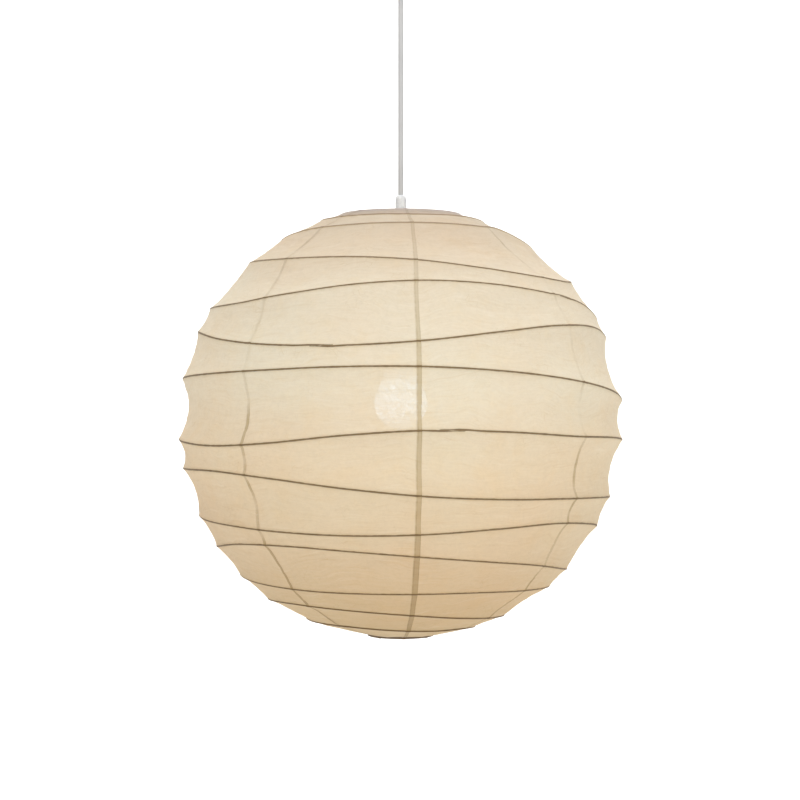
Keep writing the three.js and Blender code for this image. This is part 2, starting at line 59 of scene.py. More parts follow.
RIB_Z = np.array([
    230.6, 230.0, 229.0, 227.9, 226.8, 226.0, 225.5, 225.9, 226.1, 225.8, 226.2, 226.8, 226.2, 224.7, 222.4, 219.4, 216.0, 212.6,
    209.9, 207.7, 205.8, 204.3, 203.7, 207.7, 211.0, 212.4, 213.8, 214.2, 214.0, 213.4, 213.2, 196.9, 190.9, 186.4, 184.6, 184.8,
    184.6, 182.6, 180.7, 180.0, 179.1, 177.0, 175.0, 173.9, 172.5, 168.3, 161.4, 155.4, 153.0, 156.9, 157.4, 155.5, 152.9, 150.9,
    148.0, 142.5, 135.9, 130.8, 127.7, 125.7, 126.7, 134.0, 142.1, 145.9, 143.8, 137.6, 129.5, 114.3, 108.4, 104.5, 103.9, 106.9,
    110.9, 112.6, 110.9, 107.2, 102.9, 97.0, 86.6, 79.3, 77.8, 82.8, 92.6, 101.3, 102.6, 93.6, 86.8, 78.8, 68.3, 59.6,
    56.8, 56.7, 54.0, 49.3, 47.4, 49.0, 51.1, 53.4, 55.8, 55.6, 51.3, 43.8, 33.9, 22.5, 15.5, 10.0, 7.6, 5.8,
    0.2, -8.0, -14.1, -16.6, -18.9, -22.7, -25.8, -22.2, -13.9, -8.8, -10.8, -15.5, -17.6, -21.4, -25.6, -31.1, -37.8, -44.3,
    -48.8, -50.7, -51.5, -52.3, -53.2, -52.8, -52.9, -59.0, -68.3, -76.1, -80.1, -81.4, -82.9, -85.2, -87.6, -91.1, -95.5, -99.2,
    -100.8, -100.7, -100.7, -102.2, -105.2, -108.2, -111.4, -115.2, -117.1, -115.5, -111.0, -107.8, -111.9, -119.0, -125.3, -130.1, -133.1, -135.3,
    -138.0, -141.1, -143.4, -143.9, -142.5, -138.0, -131.5, -130.4, -134.2, -139.9, -146.4, -153.3, -161.7, -167.6, -172.1, -175.3, -176.9, -176.3,
    -174.2, -171.8, -170.6, -171.0, -172.5, -174.8, -177.8, -180.2, -181.0, -181.1, -181.1, -182.7, -184.1, -185.8, -187.2, -188.4, -190.6, -194.4,
    -198.4, -200.6, -201.1, -200.9, -200.5, -199.3, -198.2, -200.1, -203.2, -207.3, -211.8, -215.1, -217.2, -218.5, -219.5, -220.9, -222.8, -223.8,
    -223.5, -222.5, -222.0, -222.3, -222.8, -223.2, -223.5, -224.4, -226.6, -228.5, -229.5, -229.1, -230.1, -231.5, -233.3, -235.1, -236.8, -238.1,
    -238.9,
])
T = RING_TOP_Z

# ------------------------------------------------------------------ camera
cam_data = bpy.data.cameras.new("camera")
cam = bpy.data.objects.new("camera", cam_data)
scene.collection.objects.link(cam)
cam.location = (0.0, -2.190, (CENTRE_Z + 5.7) * MM)
cam.rotation_euler = (math.radians(90), 0, 0)
cam_data.lens = 86.715
cam_data.sensor_width = 36.0
cam_data.shift_x = -0.001
cam_data.shift_y = 0.020
cam_data.clip_end = 50
scene.camera = cam


# ------------------------------------------------------------------ small tools
def new_object(name, mesh):
    ob = bpy.data.objects.new(name, mesh)
    scene.collection.objects.link(ob)
    return ob


def mesh_from(name, verts, faces, smooth=True, attrs=None, sharp=None):
    """verts in millimetres"""
    me = bpy.data.meshes.new(name)
    me.from_pydata((np.asarray(verts, float) * MM).tolist(), [], [list(map(int, f)) for f in faces])
    me.validate()
    if smooth:
        me.polygons.foreach_set("use_smooth", np.ones(len(me.polygons), bool))
    for key, values in (attrs or {}).items():
        a = me.attributes.new(key, "FLOAT", "POINT")
        a.data.foreach_set("value", np.asarray(values, np.float32))
    me.update()
    ob = new_object(name, me)
    if sharp is not None:
        me.set_sharp_from_angle(angle=math.radians(sharp))
    return ob


def grid_faces(nr, nc, wrap=False):
    r = np.arange(nr - 1)[:, None]
    c = np.arange(nc if wrap else nc - 1)[None, :]
    c2 = (c + 1) % nc
    return np.stack([r * nc + c, r * nc + c2, (r + 1) * nc + c2, (r + 1) * nc + c], -1).reshape(-1, 4)


def outward(ob):
    """winds a closed mesh so that its faces point out"""
    me = ob.data
    me.calc_loop_triangles()
    n = len(me.loop_triangles)
    tri = np.zeros(n * 3, np.int64)
    me.loop_triangles.foreach_get("vertices", tri)
    co = np.zeros(len(me.vertices) * 3)
    me.vertices.foreach_get("co", co)
    p = co.reshape(-1, 3)[tri.reshape(-1, 3)]
    if np.einsum("ij,ij->i", p[:, 0], np.cross(p[:, 1], p[:, 2])).sum() < 0:
        me.flip_normals()
    return ob


def turned(name, profile, seg=72, ripple=None, sharp=35, closed=None, axis="Z", at=(0, 0, 0)):
    """a profile of (radius, height) turned about an axis. It closes on itself unless both ends are on the axis."""
    prof = [(max(float(r), 0.0), float(z)) for r, z in profile]
    ends_on_axis = prof[0][0] == 0 and prof[-1][0] == 0
    ring = not ends_on_axis if closed is None else closed
    verts, faces, index = [], [], []
    a = np.arange(seg) / seg * 2 * math.pi
    for r, z in prof:
        if r == 0:
            index.append([len(verts)])
            verts.append((0, 0, z))
        else:
            index.append(list(range(len(verts), len(verts) + seg)))
            rr = r if ripple is None else r + ripple(a, r, z)
            zz = np.full(seg, z)
            verts += list(zip(rr * np.cos(a), rr * np.sin(a), zz))
    n = len(prof)
    for i in range(n if ring else n - 1):
        p, q = index[i], index[(i + 1) % n]
        if len(p) == 1 and len(q) == 1:
            continue
        for j in range(seg):
            k = (j + 1) % seg
            if len(p) == 1:
                faces.append((p[0], q[k], q[j]))
            elif len(q) == 1:
                faces.append((p[j], p[k], q[0]))
            else:
                faces.append((p[j], p[k], q[k], q[j]))
    v = np.array(verts, float)
    if axis == "X":
        v = np.stack([v[:, 2], v[:, 0], v[:, 1]], 1)
    elif axis == "Y":
        v = np.stack([v[:, 1], v[:, 2], v[:, 0]], 1)
    v += np.array(at, float)
    return outward(mesh_from(name, v, faces, sharp=sharp))


def rounded(profile, r=0.4, steps=3):
    """rounds every corner of a closed profile"""
    out = []
    n = len(profile)
    for i in range(n):
        p0, p1, p2 = (np.array(profile[(i + k) % n], float) for k in (-1, 0, 1))
        a, b = p0 - p1, p2 - p1
        la, lb = np.linalg.norm(a), np.linalg.norm(b)
        if p1[0] <= 1e-6 or la < 1e-6 or lb < 1e-6:
            out.append(tuple(p1))
            continue
        k = min(r, la * 0.42, lb * 0.42)
        s, e = p1 + a / la * k, p1 + b / lb * k
        for t in np.linspace(0, 1, steps + 1):
            out.append(tuple((1 - t) ** 2 * s + 2 * t * (1 - t) * p1 + t * t * e))
    return out


def sweep(name, points, radii, seg=12, caps=True, oval=None, sharp=60):
    """a round (or oval) section carried along points; radii may be one number or one per point"""
    p = np.asarray(points, float)
    n = len(p)
    rad = np.broadcast_to(np.asarray(radii, float), (n,))
    d = np.gradient(p, axis=0)
    d /= np.linalg.norm(d, axis=1)[:, None]
    ref = np.array([0.0, 1.0, 0.0]) if abs(d[0][1]) < 0.9 else np.array([1.0, 0.0, 0.0])
    u = np.cross(d[0], ref)
    u /= np.linalg.norm(u)
    a = np.arange(seg) / seg * 2 * math.pi
    verts = []
    for i in range(n):
        u = u - d[i] * np.dot(u, d[i])
        u /= np.linalg.norm(u)
        w = np.cross(d[i], u)
        k = 1.0 if oval is None else oval
        verts.append(p[i] + rad[i] * (np.cos(a)[:, None] * u + k * np.sin(a)[:, None] * w))
    v = np.concatenate(verts)
    faces = [tuple(f) for f in grid_faces(n, seg, wrap=True)]
    if caps:
        faces.append(tuple(range(seg - 1, -1, -1)))
        faces.append(tuple(range((n - 1) * seg, n * seg)))
    return outward(mesh_from(name, v, faces, sharp=sharp))


def join(name, objects):
    bpy.ops.object.select_all(action="DESELECT")
    for o in objects:
        o.select_set(True)
    bpy.context.view_layer.objects.active = objects[0]
    bpy.ops.object.join()
    ob = bpy.context.view_layer.objects.active
    ob.name = name
    ob.data.name = name
    return ob


def soft_box(name, lo, hi, bevel=0.4, segments=3):
    """a moulded block with rounded edges, mm"""
    lo, hi = np.array(lo, float), np.array(hi, float)
    v = [(x, y, z) for x in (lo[0], hi[0]) for y in (lo[1], hi[1]) for z in (lo[2], hi[2])]
    f = [(0, 1, 3, 2), (4, 6, 7, 5), (0, 4, 5, 1), (2, 3, 7, 6), (0, 2, 6, 4), (1, 5, 7, 3)]
    ob = outward(mesh_from(name, v, f, smooth=True))
    m = ob.modifiers.new("bevel", "BEVEL")
    m.width = bevel * MM
    m.segments = segments
    m.harden_normals = False
    apply(ob)
    ob.data.set_sharp_from_angle(angle=math.radians(50))
    return ob


def apply(ob):
    bpy.context.view_layer.objects.active = ob
    bpy.ops.object.select_all(action="DESELECT")
    ob.select_set(True)
    for m in list(ob.modifiers):
        bpy.ops.object.modifier_apply(modifier=m.name)


def cut(ob, cutter):
    m = ob.modifiers.new("cut", "BOOLEAN")
    m.operation = "DIFFERENCE"
    m.object = cutter
    m.solver = "EXACT"
    apply(ob)
    bpy.data.objects.remove(cutter)
    return ob


def hash_noise(p, seed=0):
    """smooth value noise of an (n,3) array, about -1..1"""
    p = np.asarray(p, float)
    i = np.floor(p).astype(np.int64)
    f = p - i
    f = f * f * (3 - 2 * f)
    out = np.zeros(len(p))
    for dx in (0, 1):
        for dy in (0, 1):
            for dz in (0, 1):
                h = ((i[:, 0] + dx) * 374761393 + (i[:, 1] + dy) * 668265263 + (i[:, 2] + dz) * 2147483647 + seed * 1274126177) & 0xFFFFFFFF
                h = ((h ^ (h >> 13)) * 1274126177) & 0xFFFFFFFF
                h = (h ^ (h >> 16)) & 0xFFFFFFFF
                w = (f[:, 0] if dx else 1 - f[:, 0]) * (f[:, 1] if dy else 1 - f[:, 1]) * (f[:, 2] if dz else 1 - f[:, 2])
                out += w * (h / 0xFFFFFFFF * 2 - 1)
    return out


# ------------------------------------------------------------------ node materials
class Mat:
    """a small builder for one node material"""

    def __init__(self, name):
        self.m = bpy.data.materials.new(name)
        self.m.use_nodes = True
        self.nt = self.m.node_tree
        self.nt.nodes.clear()
        self.out = self.nt.nodes.new("ShaderNodeOutputMaterial")

    def node(self, kind, **kw):
        n = self.nt.nodes.new(kind)
        for k, v in kw.items():
            setattr(n, k, v)
        return n

    def link(self, a, b):
        self.nt.links.new(a, b)

    def put(self, socket, value):
        if hasattr(value, "node"):
            self.link(value, socket)
        else:
            socket.default_value = value

    def coord(self, scale=(1, 1, 1), kind="Object", rot=(0, 0, 0)):
        t = self.node("ShaderNodeTexCoord")
        mp = self.node("ShaderNodeMapping")
        mp.inputs["Scale"].default_value = scale
        mp.inputs["Rotation"].default_value = rot
        self.link(t.outputs[kind], mp.inputs["Vector"])
        return mp.outputs["Vector"]

    def noise(self, vector, scale, detail=4, rough=0.55, distortion=0.0):
        n = self.node("ShaderNodeTexNoise")
        n.inputs["Scale"].default_value = scale
        n.inputs["Detail"].default_value = detail
        n.inputs["Roughness"].default_value = rough
        n.inputs["Distortion"].default_value = distortion
        if vector is not None:
            self.link(vector, n.inputs["Vector"])
        return n.outputs["Fac"]

    def ramp(self, fac, stops, interpolation="LINEAR"):
        r = self.node("ShaderNodeValToRGB")
        r.color_ramp.interpolation = interpolation
        e = r.color_ramp.elements
        while len(e) < len(stops):
            e.new(0.5)
        for k, (p, c) in enumerate(stops):
            e[k].position = p
            e[k].color = (*c, 1) if len(c) == 3 else c
        self.link(fac, r.inputs["Fac"])
        return r.outputs["Color"]

    def math(self, op, a, b=None, c=None, clamp=False):
        n = self.node("ShaderNodeMath", operation=op)
        n.use_clamp = clamp
        self.put(n.inputs[0], a)
        if b is not None:
            self.put(n.inputs[1], b)
        if c is not None:
            self.put(n.inputs[2], c)
        return n.outputs[0]

    def remap(self, v, a, b, c, d, smooth=False):
        n = self.node("ShaderNodeMapRange")
        n.interpolation_type = "SMOOTHSTEP" if smooth else "LINEAR"
        self.put(n.inputs["Value"], v)
        for k, x in zip(("From Min", "From Max", "To Min", "To Max"), (a, b, c, d)):
            n.inputs[k].default_value = x
        return n.outputs["Result"]

    def mix(self, fac, a, b, blend="MIX"):
        n = self.node("ShaderNodeMix", data_type="RGBA", blend_type=blend)
        self.put(n.inputs[0], fac)
        self.put(n.inputs[6], a if hasattr(a, "node") else (*a, 1))
        self.put(n.inputs[7], b if hasattr(b, "node") else (*b, 1))
        return n.outputs[2]

    def attr(self, name):
        n = self.node("ShaderNodeAttribute", attribute_name=name)
        return n.outputs["Fac"]

    def bump(self, height, strength, distance, normal=None):
        n = self.node("ShaderNodeBump")
        n.inputs["Strength"].default_value = strength
        n.inputs["Distance"].default_value = distance
        self.link(height, n.inputs["Height"])
        if normal is not None:
            self.link(normal, n.inputs["Normal"])
        return n.outputs["Normal"]

    def principled(self, **kw):
        p = self.node("ShaderNodeBsdfPrincipled")
        for k, v in kw.items():
            self.put(p.inputs[k], v)
        return p

    def finish(self, shader):
        self.link(shader, self.out.inputs["Surface"])
        return self.m


def metal(name, base, dark, rough=0.35, scale=220, streak=(1, 1, 1), scratch=0.12, metallic=1.0):
    m = Mat(name)
    v = m.coord(streak)
    n = m.noise(v, scale, 6, 0.6)
    big = m.noise(m.coord(), 28, 3, 0.5)
    col = m.mix(m.remap(big, 0.35, 0.7, 0, 1), dark, base)
    r = m.remap(n, 0.3, 0.7, rough - scratch, rough + scratch)
    p = m.principled(**{"Base Color": col, "Metallic": metallic, "Roughness": r})
    m.link(m.bump(n, 0.18, 0.0002), p.inputs["Normal"])
    return m.finish(p.outputs[0])


def plastic(name, base, tint, rough=0.35, scale=900, bump=0.12, specular=0.5, sub=0.0, radius=(0.004, 0.003, 0.002)):
    m = Mat(name)
    v = m.coord()
    fine = m.noise(v, scale, 5, 0.6)
    big = m.noise(v, 22, 4, 0.55)
    col = m.mix(m.remap(big, 0.35, 0.68, 0, 1), base, tint)
    r = m.remap(fine, 0.3, 0.7, rough - 0.06, rough + 0.08)
    p = m.principled(**{"Base Color": col, "Roughness": r})
    p.inputs["Specular IOR Level"].default_value = specular
    if sub:
        p.inputs["Subsurface Weight"].default_value = sub
        p.inputs["Subsurface Radius"].default_value = (1.0, 0.85, 0.7)
        p.inputs["Subsurface Scale"].default_value = radius[0]
    m.link(m.bump(fine, bump, 0.0002), p.inputs["Normal"])
    return m.finish(p.outputs[0])


# paper
def paper_material():
    m = Mat("washi_paper")
    v = m.coord()
    wob = m.node("ShaderNodeVectorMath", operation="ADD")
    nz = m.node("ShaderNodeTexNoise")
    nz.inputs["Scale"].default_value = 9.0
    nz.inputs["Detail"].default_value = 3
    m.link(v, nz.inputs["Vector"])
    sc = m.node("ShaderNodeVectorMath", operation="SCALE")
    m.link(nz.outputs["Color"], sc.inputs[0])
    sc.inputs["Scale"].default_value = 0.05
    m.link(v, wob.inputs[0])
    m.link(sc.outputs[0], wob.inputs[1])

    def stretched(vec, scale, rot=(0, 0, 0)):
        mp = m.node("ShaderNodeMapping")
        mp.inputs["Scale"].default_value = scale
        mp.inputs["Rotation"].default_value = rot
        m.link(vec, mp.inputs["Vector"])
        return mp.outputs["Vector"]

    def shade(fac, col, tint):
        """col, multiplied by tint where fac is 1"""
        return m.mix(fac, col, tint, "MULTIPLY")

    fib_a = m.noise(stretched(wob.outputs[0], (1, 1, 9)), 60, 6, 0.62)
    fib_b = m.noise(stretched(wob.outputs[0], (1, 1, 20)), 15, 5, 0.6)
    diag = m.noise(stretched(wob.outputs[0], (1, 1, 16), (0.0, 0.35, 0.0)), 14, 4, 0.6)
    cloud = m.noise(v, 34, 5, 0.6, 0.4)
    broad = m.noise(v, 6.0, 3, 0.5)
    grain = m.noise(v, 750, 4, 0.6)
    voro = m.node("ShaderNodeTexVoronoi", feature="DISTANCE_TO_EDGE")
    voro.inputs["Scale"].default_value = 95
    m.link(stretched(wob.outputs[0], (1, 1, 2.4)), voro.inputs["Vector"])
    hair = m.remap(voro.outputs["Distance"], 0.0, 0.035, 1, 0, True)
    hair = m.math("MULTIPLY", hair, m.remap(m.noise(v, 42, 3, 0.5), 0.52, 0.66, 0, 1, True))

    z = m.node("ShaderNodeSeparateXYZ")
    m.link(m.node("ShaderNodeTexCoord").outputs["Object"], z.inputs[0])
    h = m.remap(z.outputs["Z"], (CENTRE_Z - 245) * MM, (CENTRE_Z + 235) * MM, 0, 1)
    # painted light and shade: the paper is darkest and yellowest at the bottom, darker at the top, and brightest a
    # little above the middle where the lamp lights it from inside
    body = m.ramp(h, PAPER_SHADE_STOPS)
    col = shade(m.remap(fib_a, 0.38, 0.70, 0.0, 0.8), body, (0.955, 0.935, 0.895))
    streak = m.remap(fib_b, 0.56, 0.70, 0.0, 1.0, True)
    col = shade(streak, col, (0.968, 0.952, 0.925))
    light = m.remap(fib_b, 0.44, 0.34, 0.0, 0.13, True)
    col = m.mix(light, col, m.mix(0.5, col, (1.0, 0.97, 0.88), "SCREEN"), "MIX")
    # painted shade: darker diagonal streaks along the sheet's fold creases, drawn in the colour alone
    fold_shade = m.remap(diag, 0.60, 0.68, 0.0, 1.0, True)
    col = shade(m.math("MULTIPLY", fold_shade, 0.8), col, (0.965, 0.945, 0.91))
    col = shade(m.remap(cloud, 0.48, 0.72, 0.0, 1.0), col, (1.0, 0.975, 0.93))
    col = shade(m.remap(broad, 0.36, 0.66, 0.0, 1.0), col, (1.0, 0.955, 0.925))
    col = shade(m.math("MULTIPLY", hair, 0.8), col, (0.90, 0.86, 0.78))
    # pale flecks of paste and torn fibre along the side laps
    fl = m.math("MULTIPLY", m.attr("fleck"), m.remap(m.noise(stretched(v, (1, 1, 1.6)), 230, 4, 0.6), 0.60, 0.70, 0, 1, True))
    col = m.mix(m.math("MULTIPLY", fl, 0.40), col, (0.93, 0.88, 0.77))
    # the glued lap and its two edges, painted darker: shade standing in for the lamp light that the doubled sheet holds
    # back
    lap = m.attr("lap")
    col = shade(m.math("MULTIPLY", lap, LAP_DARK), col, LAP_SHADE_TINT)
    edge = m.math("MULTIPLY", m.attr("lap_edge"), m.remap(m.noise(v, 150, 3, 0.5), 0.36, 0.6, 0.25, 1.0))
    col = shade(m.math("MULTIPLY", edge, EDGE_DARK), col, (0.50, 0.42, 0.30))
    # the rib, pasted to the back of the sheet, shows as a dark line: partly the bamboo seen through the sheet, partly
    # its painted shadow where it holds back the lamp light
    e = m.attr("rib_edge")
    wobble = m.remap(m.noise(v, 160, 3, 0.5), 0.3, 0.7, -0.16, 0.16)
    pole = m.math("ABSOLUTE", m.math("SUBTRACT", h, 0.5))
    e = m.math("SUBTRACT", e, m.remap(pole, 0.34, 0.48, 0.0, 0.75))
    line = m.remap(m.math("ADD", e, wobble), -0.40, 0.12, 1, 0, True)
    halo = m.remap(e, 0.0, 2.6, 0.75, 0.0, True)
    rib_shadow_col = m.mix(m.remap(m.noise(stretched(v, (1, 1, 8)), 90, 4, 0.6), 0.3, 0.7, 0, 1), RIB_DARK, RIB_LIGHT)
    # painted shade: the rib line is paler and greyer near the top and darker towards the bottom
    rib_shadow_col = m.mix(m.remap(h, 0.82, 0.95, 0, 0.42, True), rib_shadow_col, (0.42, 0.33, 0.235))
    rib_shadow_col = shade(m.remap(h, 0.35, 0.05, 0, 1), rib_shadow_col, (0.82, 0.72, 0.60))
    col = shade(halo, col, (0.93, 0.885, 0.80))
    col = m.mix(m.math("MULTIPLY", line, 0.95), col, rib_shadow_col)
    # the hem turned over the ring wire; and painted shade, a greyer tint over the band between the top ring and the
    # first rib
    hem = m.attr("hem")
    up = m.remap(h, 0.4, 0.6, 0, 1)
    col = shade(m.math("MULTIPLY", m.remap(hem, 34, 50, 1, 0), up), col, (0.83, 0.80, 0.83))
    # painted shadow: a dark line along each ring wire, the wire's shadow seen through the sheet, darker at the bottom
    # ring
    rim = m.math("ADD", hem, m.remap(m.noise(v, 120, 3, 0.5), 0.3, 0.7, -0.6, 0.6))
    rim = m.math("SUBTRACT", rim, m.remap(up, 0, 1, 4.2, 0.8))
    rim = m.remap(rim, 0.6, 2.4, 1, 0, True)
    ring_shadow_col = m.mix(up, (0.105, 0.064, 0.034), (0.315, 0.265, 0.235))
    col = m.mix(m.math("MULTIPLY", rim, 0.92), col, ring_shadow_col)

    height = m.math("ADD", m.math("MULTIPLY", fib_a, 0.5), m.math("MULTIPLY", cloud, 0.35))
    height = m.math("ADD", height, m.math("MULTIPLY", hair, 0.25))
    height = m.math("ADD", height, m.math("MULTIPLY", fib_b, 0.12))
    normal = m.bump(height, 0.30, 0.0006)
    normal = m.bump(grain, 0.18, 0.0002, normal)
    rough = m.remap(grain, 0.3, 0.7, 0.66, 0.86)
    p = m.principled(**{"Base Color": col, "Roughness": rough})
    p.inputs["Specular IOR Level"].default_value = 0.25
    p.inputs["Sheen Weight"].default_value = 0.05
    p.inputs["Sheen Roughness"].default_value = 0.6
    m.link(normal, p.inputs["Normal"])
    tr = m.node("ShaderNodeBsdfTranslucent")
    m.link(m.mix(1.0, col, (1.0, 0.95, 0.86), "MULTIPLY"), tr.inputs["Color"])
    m.link(normal, tr.inputs["Normal"])
    blocked = m.math("SUBTRACT", 1.0, m.math("MAXIMUM", m.math("MAXIMUM", line, rim), m.math("MULTIPLY", lap, 0.55)))
    s1 = m.node("ShaderNodeMixShader")
    m.link(m.math("MULTIPLY", blocked, TRANSLUCENT), s1.inputs[0])
    m.link(p.outputs[0], s1.inputs[1])
    m.link(tr.outputs[0], s1.inputs[2])
    # thin places between the fibres let a little light straight through
    pores = m.remap(m.noise(v, 320, 5, 0.75, 0.4), 0.36, 0.64, 0.35, 1.0, True)
    pores = m.math("MULTIPLY", pores, m.remap(m.noise(v, 165, 5, 0.7, 0.8), 0.38, 0.60, 0.35, 1.0, True))
    open_ = m.math("MULTIPLY", m.math("MULTIPLY", pores, blocked), CLEAR)
    gap = m.node("ShaderNodeBsdfTransparent")
    s2 = m.node("ShaderNodeMixShader")
    m.link(open_, s2.inputs[0])
    m.link(s1.outputs[0], s2.inputs[1])
    m.link(gap.outputs[0], s2.inputs[2])
    return m.finish(s2.outputs[0])


# painted shade: the paper's colour from bottom to top, darker towards both ends and brightest just above the middle
PAPER_SHADE_STOPS = [(0.0, (0.555, 0.435, 0.262)), (0.10, (0.615, 0.493, 0.320)), (0.22, (0.680, 0.572, 0.413)), (0.40, (0.755, 0.668, 0.512)),
               (0.58, (0.785, 0.748, 0.628)), (0.80, (0.740, 0.695, 0.585)), (0.92, (0.640, 0.565, 0.455)), (1.0, (0.560, 0.500, 0.410))]
# painted shade of the laps: the colour a doubled sheet is multiplied by
LAP_SHADE_TINT = (0.66, 0.60, 0.48)
RIB_DARK, RIB_LIGHT = (0.098, 0.058, 0.021), (0.165, 0.106, 0.044)
LAP_DARK, EDGE_DARK, TRANSLUCENT, CLEAR = 1.0, 0.55, 0.38, 0.062


def bamboo_material():
    m = Mat("split_bamboo")
    v = m.coord((1, 1, 14))
    grain = m.noise(v, 130, 7, 0.65)
    spots = m.noise(m.coord(), 46, 4, 0.6)
    col = m.ramp(grain, [(0.28, (0.20, 0.13, 0.055)), (0.5, (0.36, 0.25, 0.12)), (0.74, (0.50, 0.37, 0.19))])
    col = m.mix(m.remap(spots, 0.55, 0.72, 0, 0.7), col, (0.16, 0.10, 0.045))
    node = m.attr("node")
    col = m.mix(m.math("MULTIPLY", node, 0.8), col, (0.11, 0.07, 0.03))
    p = m.principled(**{"Base Color": col, "Roughness": m.remap(grain, 0.3, 0.7, 0.42, 0.68)})
    m.link(m.bump(grain, 0.35, 0.0004), p.inputs["Normal"])
    return m.finish(p.outputs[0])


def cord_material():
    m = Mat("lead_sheath")
    v = m.coord()
    fine = m.noise(v, 1400, 4, 0.6)
    long_ = m.noise(m.coord((1, 1, 0.05)), 500, 3, 0.5)
    big = m.noise(v, 18, 3, 0.5)
    col = m.mix(m.remap(big, 0.35, 0.7, 0, 1), (0.41, 0.41, 0.415), (0.46, 0.46, 0.46))
    p = m.principled(**{"Base Color": col, "Roughness": m.remap(fine, 0.3, 0.7, 0.42, 0.56)})
    n = m.bump(long_, 0.10, 0.0003)
    m.link(m.bump(fine, 0.12, 0.0001, n), p.inputs["Normal"])
    return m.finish(p.outputs[0])


def nylon_material():
    m = Mat("grip_nylon")
    v = m.coord()
    cloud = m.noise(v, 160, 4, 0.6)
    fine = m.noise(v, 1200, 3, 0.5)
    col = m.mix(m.remap(cloud, 0.3, 0.7, 0, 1), (0.56, 0.58, 0.60), (0.70, 0.71, 0.72))
    p = m.principled(**{"Base Color": col, "Roughness": m.remap(fine, 0.3, 0.7, 0.30, 0.44)})
    p.inputs["Subsurface Weight"].default_value = 0.5
    p.inputs["Subsurface Radius"].default_value = (1.0, 0.95, 0.9)
    p.inputs["Subsurface Scale"].default_value = 0.003
    p.inputs["IOR"].default_value = 1.5
    m.link(m.bump(fine, 0.08, 0.0001), p.inputs["Normal"])
    return m.finish(p.outputs[0])


def lamp_material(name, top, bottom, top_share):
    """an opal globe lit from inside, and the same glow painted on the lamp's plastic neck as painted light: brightest
    low down, darker towards the cap
    """
    m = Mat(name)
    v = m.coord()
    z = m.node("ShaderNodeSeparateXYZ")
    m.link(v, z.inputs[0])
    down = m.remap(z.outputs["Z"], bottom * MM, top * MM, 1.0, top_share, True)
    down = m.math("MULTIPLY", down, m.remap(z.outputs["Z"], (T - 236) * MM, (T - 224) * MM, 0.45, 1.0, True))
    frost = m.noise(v, 600, 3, 0.5)
    col = m.mix(m.remap(frost, 0.3, 0.7, 0, 1), (0.47, 0.71, 1.0), (0.43, 0.69, 1.0))
    p = m.principled(**{"Base Color": (0.9, 0.88, 0.84, 1), "Roughness": m.remap(frost, 0.3, 0.7, 0.35, 0.5)})
    m.link(col, p.inputs["Emission Color"])
    m.link(m.math("MULTIPLY", down, LAMP_GLOW), p.inputs["Emission Strength"])
    return m.finish(p.outputs[0])


LAMP_GLOW = 4.6


def pcb_material(name, base, tint):
    m = Mat(name)
    v = m.coord()
    weave = m.noise(v, 700, 2, 0.4)
    br = m.node("ShaderNodeTexBrick")
    br.inputs["Scale"].default_value = 240
    br.inputs["Mortar Size"].default_value = 0.04
    br.inputs["Color1"].default_value = (*base, 1)
    br.inputs["Color2"].default_value = (*tint, 1)
    br.inputs["Mortar"].default_value = (*[0.6 * c for c in tint], 1)
    m.link(v, br.inputs["Vector"])
    p = m.principled(**{"Base Color": br.outputs["Color"], "Roughness": m.remap(weave, 0.3, 0.7, 0.35, 0.5)})
    m.link(m.bump(weave, 0.15, 0.0002), p.inputs["Normal"])
    return m.finish(p.outputs[0])


PAPER = paper_material()
BAMBOO = bamboo_material()
ZINC = metal("zinc_wire", (0.62, 0.63, 0.64), (0.46, 0.47, 0.49), 0.34, 300, (1, 1, 0.25))
ZINC_SHEET = metal("zinc_sheet", (0.40, 0.405, 0.41), (0.30, 0.305, 0.315), 0.42, 120, (0.2, 1, 1))
SCREW = metal("screw_steel", (0.72, 0.72, 0.73), (0.55, 0.55, 0.57), 0.25, 400)
YELLOW = metal("passivated_steel", (0.70, 0.64, 0.44), (0.52, 0.50, 0.42), 0.33, 260)
BRASS = metal("contact_brass", (0.78, 0.58, 0.25), (0.60, 0.42, 0.17), 0.28, 260)
NICKEL = metal("lamp_nickel", (0.74, 0.74, 0.73), (0.60, 0.60, 0.60), 0.2, 240, scratch=0.08)
WHITE = plastic("white_plastic", (0.86, 0.86, 0.84), (0.81, 0.805, 0.78), 0.30)
ENAMEL = plastic("canopy_enamel", (0.60, 0.60, 0.585), (0.56, 0.56, 0.54), 0.34, 500, 0.10, 0.35)
HOUSING = plastic("lamp_housing", (0.88, 0.88, 0.87), (0.83, 0.83, 0.82), 0.42, 800)
VITRITE = plastic("lamp_vitrite", (0.012, 0.012, 0.014), (0.03, 0.03, 0.034), 0.14, 300, 0.06)
CERAMIC = plastic("holder_ceramic", (0.80, 0.77, 0.69), (0.72, 0.68, 0.58), 0.22, 400, 0.15)
SHEATH = cord_material()
NYLON = nylon_material()
OPAL = lamp_material("lamp_opal", T - 192, T - 214, 0.62)
# painted light: the lamp's plastic neck glows, though no light source is inside it
NECK_PAINTED_GLOW = lamp_material("lamp_neck_painted_glow", T - 164, T - 200, 0.03)
GREEN = pcb_material("circuit_board", (0.035, 0.20, 0.07), (0.05, 0.26, 0.09))
LEDWHITE = pcb_material("led_board", (0.80, 0.80, 0.76), (0.74, 0.74, 0.70))


def dress(ob, mat, body, node=None):
    ob.data.materials.clear()
    ob.data.materials.append(mat)
    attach(ob, body)
    if node:
        for n in (node if isinstance(node, (list, tuple)) else [node]):
            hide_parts(n)
    return ob


